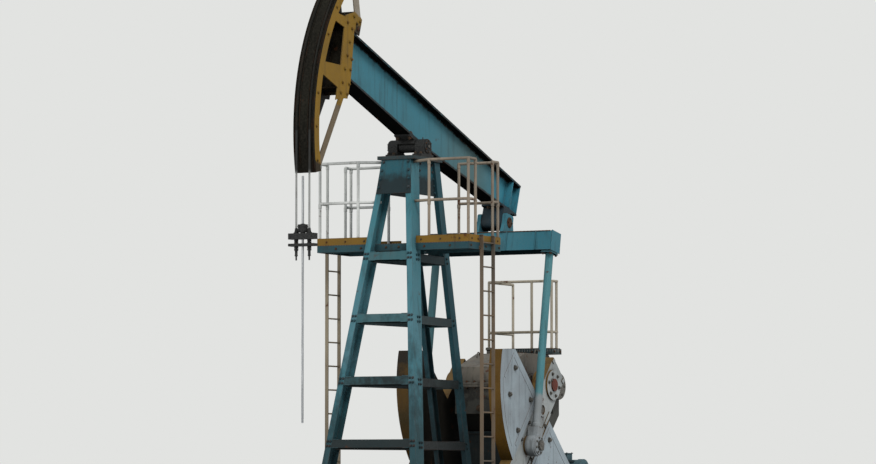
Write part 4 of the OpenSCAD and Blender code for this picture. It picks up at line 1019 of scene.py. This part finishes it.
def walkway_details():
    p = Piece()
    end, x0, x1 = WALK_X
    bars = [(x0 + 0.02, x1 - 0.02, -0.535 + i * GRATING) for i in range(26)]
    bars += [(end + 0.02, x0, -0.53 + i * GRATING) for i in range(12)]
    for low, high, y in bars:
        p.box((low, y - 0.0025, WALK_Z), (high, y + 0.0025, WALK_Z + 0.012))
    for xs, y in (((x0 + 0.02, x0 + 0.1, x0 + 0.19, x1 - 0.026), 0.53), ((-4.28, -4.14, -4.0, -3.86), -0.05)):
        for x in xs:
            p.box((x, -0.54, WALK_Z), (x + 0.006, y, WALK_Z + 0.012))
    p.done("walkway_grating", "dark_blue_paint")

    p = Piece()
    x, y = WALK_END
    p.bar((x, y, WALK_Z), (x, y, WALK_Z + 1.0), 0.02)
    for z in (WALK_Z + 0.25, WALK_Z + 1.0):
        p.bar((-3.478, y, z), (x - 0.02, y, z), 0.02)
    p.done("walkway_end_rail", "walk_rail_paint", 0.002)

    posts = ((-4.272, -0.522), (-3.478, -0.522), (-3.478, 0.18), (-3.478, 0.512), WALK_END)
    p = Piece()
    for x, y in posts:
        p.box((x - 0.027, y - 0.027, WALK_Z), (x + 0.027, y + 0.027, WALK_Z + 0.01))
    p.done("walkway_post_plates", "tan_paint", 0.001)

    p = Piece()
    for x, y in posts:
        p.bolts((x - 0.021, x + 0.021), y, WALK_Z + 0.01, UP, 0.0035)
    p.bolts((-3.7, -3.5), 0.54, 2.63, NEAR, 0.01)
    p.bolts((-4.2, -3.95, -3.7, -3.5), -0.55, 2.63, FAR, 0.01)
    p.bolts(x1, (-0.4, -0.1, 0.2, 0.4), 2.63, FRONT, 0.01)
    p.done("walkway_bolts", "rusty_steel")


# Walking beam and head

def under(s):
    """Height of the beam's underside over its line, at a place along it."""
    return BEAM_LOW + TAIL_RISE * max(0.0, -TAPER_START - s) / TAPER_L


def beam_details():
    p = Piece("beam")
    for z, out in ((BEAM_LOW + 0.028, UP), (BEAM_LOW - 0.025, DOWN)):
        p.bolts((-0.2, 0.2), (-0.095, 0.095), z, out, 0.018)
    foot = under(-TAIL_ARM - 0.18) - 0.05
    for s in (-TAIL_ARM - 0.145, -TAIL_ARM + 0.145):
        p.bolts(s, (-0.075, 0.075), under(s) + 0.029, UP, 0.016)
        p.bolts(s, (-0.075, 0.075), foot, DOWN, 0.016)
    p.bolts(BEAM_FRONT, (-0.075, 0.075), (0.16, 0.27, 0.38, 0.49, 0.6), REAR, 0.014)
    p.done("beam_bolts", "rusty_steel")

    p = Piece("beam")
    for s in (-3.18, -2.95):
        low = under(s) + 0.031
        for x in (s - 0.003, s + 0.017):
            p.weld((x, 0.012, low), (x, 0.012, BEAM_TOP - 0.03), 0.006, 0.02)
        p.weld((s - 0.002, 0.012, low), (s - 0.002, BEAM_W / 2 - 0.01, low), 0.006)
    low, high, end = BEAM_LOW + 0.031, BEAM_TOP - 0.031, BEAM_FRONT - 0.01
    for x0, z0, x1, z1 in ((-3.15, under(-3.15) + 0.031, -TAPER_START, low), (-TAPER_START, low, end, low),
                           (-3.15, high, end, high)):
        p.weld((x0, 0.011, z0), (x1, 0.011, z1), 0.007, 0.03)
    p.weld((BEAM_FRONT - 0.002, 0.012, BEAM_LOW + 0.03), (BEAM_FRONT - 0.002, 0.012, BEAM_TOP - 0.03), 0.008)
    p.both()
    p.done("beam_welds", "beam_blue")

    p = Piece("beam")
    for s in (-2.2, 1.45):
        z, top = BEAM_TOP, BEAM_TOP + 0.09
        p.prism([(s - 0.09, z), (s + 0.09, z), (s + 0.045, top), (s - 0.045, top)], -0.009, 0.009)
        p.ring(0.02, 0.034, -0.016, 0.016, (s, BEAM_TOP + 0.05), 24)
    p.done("beam_lugs", "beam_blue", 0.002)

    p = Piece("beam")
    p.turned([(0.0001, 0.305), (0.045, 0.305), (0.06, 0.3), (0.06, 0.285)], (0, 0), 32, False)
    p.bar((0, 0.305, 0), (0, 0.313, 0), 0.022, n=6)
    p.both()
    p.done("saddle_shaft_ends", "worn_steel")


def polar(r, a):
    return r * math.cos(math.radians(a)), r * math.sin(math.radians(a))


def strip(p, r0, r1, y0, y1, last):
    """A square bar along the head's arc, from its lower end up to an angle."""
    corners = [list(zip(arc((0, 0), r, -HEAD_DOWN, last, 48), [y] * 49))
               for r, y in ((r0, y0), (r1, y0), (r1, y1), (r0, y1))]
    p.skin([[(u, y, v) for (u, v), y in ring] for ring in zip(*corners)], caps=True)


def wire_rope(p, place, lengths, core):
    """Two ropes of strands laid round a core; place() gives X and Z for an offset and a length."""
    for y in (-ROPE_Y, ROPE_Y):
        for k in range(STRANDS):
            path = []
            for length in lengths:
                t = 2 * math.pi * (k / STRANDS + length / ROPE_LAY)
                x, z = place(STRAND_RING * math.cos(t), length)
                path.append((x, y + STRAND_RING * math.sin(t), z))
            p.tube(path, STRAND_R, 6)
        p.tube([(x, y, z) for x, z in (place(0, length) for length in core)], CORE_R, 6)


def head_details():
    side = FACE_W / 2
    p = Piece("beam")
    for y0, y1 in ((side - 0.012, side), (0.06, 0.068), (0.124, 0.132)):
        strip(p, FACE_R - 0.001, FACE_R + 0.008, y0, y1, HEAD_UP - 1.4)
    p.both()
    p.done("face_guides", "black_face")

    for name, flip in (("near", 1), ("far", -1)):
        p = Piece("beam")
        strip(p, HEAD_INNER, HEAD_INNER + 0.012, flip * (side - 0.05), flip * (side - 0.0215), HEAD_UP)
        p.done("rim_edge_" + name, "head_" + name)

    p = Piece("beam")
    y = side - 0.006
    p.bolts(HEAD_BACK + 0.04, y, (0.93, 0.75, 0.55, 0.35, 0.15, -0.05, -0.2), NEAR, 0.012)
    p.bolts(HEAD_BACK - 0.13, y, (0.93, 0.81, 0.0, -0.15), NEAR, 0.012)
    for du, v in ((0.18, 0.78), (-0.06, 0.87), (-0.1, 0.2), (-0.09, 0.35)):
        p.bolt((HEAD_BACK + du, y, v), NEAR, 0.012)
    for u, v in (polar(2.9, a) for a in (-27, -18, -9, 8, 17, 26)):
        p.bolt((u, y, v), NEAR, 0.01)
    p.both()
    p.bolts(BEAM_FRONT, (-0.09, 0.09), (0.93, 0.985), REAR, 0.012)
    p.bolts(BEAM_FRONT, (-0.09, 0.09), (-0.05, -0.15), REAR, 0.014)
    p.done("head_bolts", "head_near")

    p = Piece("beam")
    top = BEAM_TOP + 0.13
    x = BEAM_FRONT - 0.09
    p.bar((x, -0.162, BEAM_TOP + 0.07), (x, 0.162, BEAM_TOP + 0.07), 0.03)
    p.box((x - 0.06, -0.07, top), (x + 0.06, 0.07, top + 0.012))
    p.bolts(x, (-0.045, 0.045), top + 0.012, UP, 0.012)
    p.done("hinge_pin", "rusty_steel", 0.002)

    p = Piece("beam")
    last = HEAD_UP - 1.2
    lengths = [WELL * math.radians(-TILT + (last + TILT) * i / 190) for i in range(191)]
    core = [WELL * math.radians(-TILT + 0.5 + 0.83 * i) for i in range(60)]
    wire_rope(p, lambda out, length: polar(WELL + out, math.degrees(length / WELL)), lengths, core)
    p.done("rope_strands", "rope_greased", replaces=("arc_ropes",))

    p = Piece("beam")
    for a, t in ((HEAD_UP - 3.2, 0.05), (HEAD_UP - 6.0, 0.04)):
        p.at = ON_BEAM @ line((0, 0, 0), a)
        p.box((FACE_R - 0.001, -0.15, -t / 2), (FACE_R + 0.012, 0.15, t / 2))
        p.box((WELL + 0.012, -0.135, -t / 2), (WELL + 0.024, 0.135, t / 2))
        for y in (-0.0506, 0.0506, -0.1334, 0.1334):
            p.bar((FACE_R + 0.01, y, 0), (WELL + 0.024, y, 0), 0.009)
            p.bolt((WELL + 0.024, y, 0), FRONT, 0.009)
    p.done("rope_clamps", "dark_steel", 0.001)


# Equalizer, pitmans and cranks

def pitman_details():
    p = Piece("pitmans")
    low, top = -0.45, -0.17
    p.box((-0.15, 1.01, low - 0.01), (0.15, 1.016, top + 0.01))
    for x, y in product((-0.152, 0.14), (0.28, 0.75)):
        p.box((x, y - 0.006, low), (x + 0.012, y + 0.006, top))
    p.box((-0.12, 0.84, low - 0.035), (0.12, 1.01, low - 0.025))
    p.both()
    p.done("equalizer_ribs", "equalizer_blue", 0.002)

    p = Piece("pitmans")
    p.bolts((-0.09, 0.09), (0.865, 0.985), low - 0.035, DOWN, 0.013)
    p.bar((0, 0.234, 0), (0, 0.242, 0), 0.078, n=24)
    p.circle_bolts((0, 0.242, 0), 0.055, 4, 0.009)
    p.both()
    for x in (-0.142, 0.142):
        p.weld((x, -0.98, top - 0.002), (x, 0.98, top - 0.002), 0.007, 0.03)
    p.done("equalizer_bolts", "rusty_steel")

    p = Piece("pitmans")
    pin = (0, -PITMAN_L)
    y = PIN_IN + 0.15
    p.turned([(0.062, y), (0.135, y), (0.13, y + 0.014), (0.085, y + 0.02), (0.062, y + 0.02)], pin)
    y = PIN_IN + 0.02
    p.turned([(0.15, y), (0.158, y + 0.005), (0.158, y + 0.105), (0.15, y + 0.11)], pin, 64, False)
    p.stood([(0.057, 0), (0.068, 0), (0.068, 0.06), (0.057, 0.075)], (0, 0.925, 0.255 - PITMAN_L), 32)
    p.both()
    p.done("pin_bearing_covers", "pitman_blue", 0.002)

    p = Piece("pitmans")
    p.circle_bolts((0, PIN_IN + 0.166, -PITMAN_L), 0.11, 8, 0.009, 22.5)
    for y0, y1, r, r2, n in ((0.16, 0.205, 0.078, None, 6), (0.2, 0.21, 0.03, 0.026, 16)):
        p.bar((0, PIN_IN + y0, -PITMAN_L), (0, PIN_IN + y1, -PITMAN_L), r, r2, n)
    p.both()
    p.done("pin_nuts", "worn_steel", 0.002)


def crank_details():
    half = CRANK_HALF
    rows = (0.03 - half, half - 0.03)
    ledge = CRANK_OUT + 0.014
    p = Piece("cranks")
    for v in rows:
        for u0, u1 in ((0.36, 1.76), (-0.32, -0.25)):
            p.box((u0, CRANK_OUT, v - 0.03), (u1, ledge, v + 0.03))
    p.box((1.76, CRANK_OUT, -half), (1.79, ledge, half))
    for u in (0.5, 0.85):
        y0, y1 = CRANK_OUT, CRANK_OUT + 0.016
        p.turned([(0.07, y0), (0.105, y0), (0.1, y1), (0.07, y1)], (u, 0), 40)
    p.both()
    p.done("crank_edges", "crank_near_paint", 0.003)

    p = Piece("cranks")
    y = CRANK_FACE + 0.021
    p.turned([(0.0001, y), (0.05, y), (0.06, y - 0.009)], (0, 0), 40, False)
    p.both()
    p.done("shaft_end_caps", "red_paint")

    p = Piece("cranks")
    p.box((-0.02, CRANK_FACE - 0.02, 0.075), (0.02, CRANK_FACE + 0.012, 0.115))
    p.circle_bolts((0, CRANK_FACE, 0), 0.165, 6, 0.014)
    p.bolts((0.62, 0.95, 1.28), ledge, rows, NEAR, 0.016)
    for u in (0.5, 0.85):
        p.bar((u, CRANK_OUT + 0.001, 0), (u, CRANK_OUT + 0.004, 0), 0.068)
    p.both()
    p.done("crank_bolts", "worn_steel")

    for side, name in ((1, "near"), (-1, "far")):
        p = Piece("cranks")
        y0, y1 = sorted((side * CRANK_FACE, side * (CRANK_FACE + RIDGE)))
        rim = arc((0, 0), 1.64, 14, 50, 12) + arc((0, 0), 1.59, 50, 14, 12)
        for flip in (1, -1):
            for u0, u1, v0, v1 in ((0.56, 1.5, 0.3, 0.35), (0.56, 1.02, 1.2, 1.25), (0.56, 0.61, 0.35, 1.2)):
                z0, z1 = sorted((flip * v0, flip * v1))
                p.box((u0, y0, z0), (u1, y1, z1))
            p.prism([(u, flip * v) for u, v in rim], y0, y1)
        p.done("weight_ridges_" + name, "weight_" + name, 0.0015)

    p = Piece("cranks")
    for flip in (1, -1):
        for u, v in ((0.7, 0.42), (1.3, 0.42), (0.7, 1.08), (1.1, 0.95)):
            p.bolt((u, CRANK_FACE, flip * v), NEAR, 0.022)
        eye = [(1.12 + 0.05 * u, 0.74, flip * (1.295 + 0.06 * v)) for u, v in arc((0, 0), 1, 0, 180, 10)]
        p.tube(eye, 0.013)
    p.both()
    p.done("weight_bolts", "worn_steel")


# Hanger and polished rod

def hanger_details():
    p = Piece("rod")
    for y in (-ROPE_Y, ROPE_Y):
        for low, high, r, r2, n in ((4.02, 4.034, 0.036, None, 24), (4.034, 4.09, 0.026, 0.017, 24),
                                    (3.91, 3.94, 0.033, None, 6), (3.883, 3.905, 0.033, None, 6),
                                    (3.82, 3.847, 0.033, None, 6), (3.79, 3.815, 0.033, None, 6),
                                    (3.72, 3.735, 0.024, 0.019, 16), (3.66, 3.72, 0.011, 0.012, 10)):
            p.bar((0, y, low), (0, y, high), r, r2, n)
    for y in (-0.188, 0.18048):
        p.box((-0.05, y, 3.95), (0.05, y + 0.00752, 4.01))
    p.done("hanger_nuts_and_sockets", "dark_steel", 0.001)

    p = Piece("rod")
    for x, out in ((-0.034, REAR), (0.004, FRONT)):
        p.box((x, -0.058, 4.03), (x + 0.03, 0.058, 4.138))
        p.bolts(0.034 * out[0], (-0.046, 0.046), (4.055, 4.112), out, 0.008)
    p.done("clamp_halves", "dark_steel", 0.003)

    p = Piece("rod")
    for i in range(9):
        p.stood([(0.0139, 0), (0.0157, 0.0025), (0.0139, 0.005)], (0, 0, 1.506 + 0.006 * i), 20)
    p.done("rod_thread", "rod_steel")

    p = Piece("rod")
    p.bar((0, 0, 4.14), (0, 0, 4.775), 0.0164, n=24)
    p.bar((0, 0, 4.775), (0, 0, 4.785), 0.0164, 0.011, 24)
    p.done("rod_upper_end", "rod_steel")


def hanging_ropes():
    """The ropes' straight length, hanging from the head's tangent point down to the hanger."""
    low, top = (corner[2] - PIVOT_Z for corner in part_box("bridle_ropes"))
    p = Piece()
    lengths = [low + (top - low) * i / 70 for i in range(71)]
    wire_rope(p, lambda out, length: (WELL + out, PIVOT_Z + length), lengths, (low, top))
    p.done("hanging_strands", "rope_steel", replaces=("bridle_ropes",),
           blend=("rod", "frame", (WELL, 0, PIVOT_Z + low), (WELL, 0, PIVOT_Z)))


for make in (base_details, tower_details, saddle_details, platform_details, gearbox_details, drive_details,
             guard_details, brake_details, walkway_details, beam_details, head_details, pitman_details,
             crank_details, hanger_details, hanging_ropes):
    make()


# Floor, light and camera

FLOOR_SIZE = 700
SUNS = {"key": ((-0.5, -0.62, -0.85), 1.7, 24), "fill": ((-0.8, 0.5, -0.35), 0.5, 40)}
PHOTO_W = 876
FOCAL_PIXELS = 3773
SENSOR = 36.0
EYE = (46.45, 24.91, 0.8)
HEADING = (-0.885, -0.466, 0)
PITCH = 3.70


def stage():
    bm = bmesh.new()
    bmesh.ops.create_grid(bm, x_segments=1, y_segments=1, size=FLOOR_SIZE)
    mesh = bpy.data.meshes.new("floor")
    bm.to_mesh(mesh)
    bm.free()
    floor = bpy.data.objects.new("floor", mesh)
    floor.location = (0, 0, -0.001)
    bpy.context.scene.collection.objects.link(floor)
    s = Shader("floor_grey")
    s.surface(s.mix(s.drift(18.0, 3.0, 0.3, 0.7), (214, 214, 212), (217, 217, 215)), 0.9, specular=0.1)
    mesh.materials.append(s.mat)


def light():
    """A studio sky, dimmer for the light it gives than where it is seen, and two soft suns."""
    scene = bpy.context.scene
    scene.world = bpy.data.worlds.new("studio")
    sky = Nodes(scene.world)
    ray = sky.tree.nodes.new("ShaderNodeLightPath").outputs
    mirrored = sky.math("MAXIMUM", ray["Is Glossy Ray"], ray["Is Transmission Ray"])
    seen = sky.math("MAXIMUM", ray["Is Camera Ray"], mirrored)
    dim = sky.node("ShaderNodeBackground", {0: rgb(226, 232, 240), 1: 0.55})
    pale = sky.node("ShaderNodeBackground", {0: rgb(226, 227, 225), 1: 1.0})
    out = sky.tree.nodes.new("ShaderNodeOutputWorld")
    sky.put(out.inputs[0], sky.node("ShaderNodeMixShader", {0: seen, 1: dim, 2: pale}))
    for name, (towards, energy, angle) in SUNS.items():
        data = bpy.data.lights.new(name, "SUN")
        data.energy = energy
        data.angle = math.radians(angle)
        lamp = bpy.data.objects.new(name, data)
        lamp.rotation_euler = Vector(towards).to_track_quat("-Z", "Y").to_euler()
        scene.collection.objects.link(lamp)
    scene.view_settings.view_transform = "Standard"


def camera():
    data = bpy.data.cameras.new("camera")
    data.sensor_width = SENSOR
    data.lens = FOCAL_PIXELS / PHOTO_W * SENSOR
    data.clip_end = 2000
    cam = bpy.data.objects.new("camera", data)
    cam.location = EYE
    pitch = math.radians(PITCH)
    ahead = Vector(HEADING).normalized() * math.cos(pitch) + Vector((0, 0, math.sin(pitch)))
    cam.rotation_euler = ahead.to_track_quat("-Z", "Y").to_euler()
    bpy.context.scene.collection.objects.link(cam)
    bpy.context.scene.camera = cam


stage()
light()
camera()
bpy.context.view_layer.update()
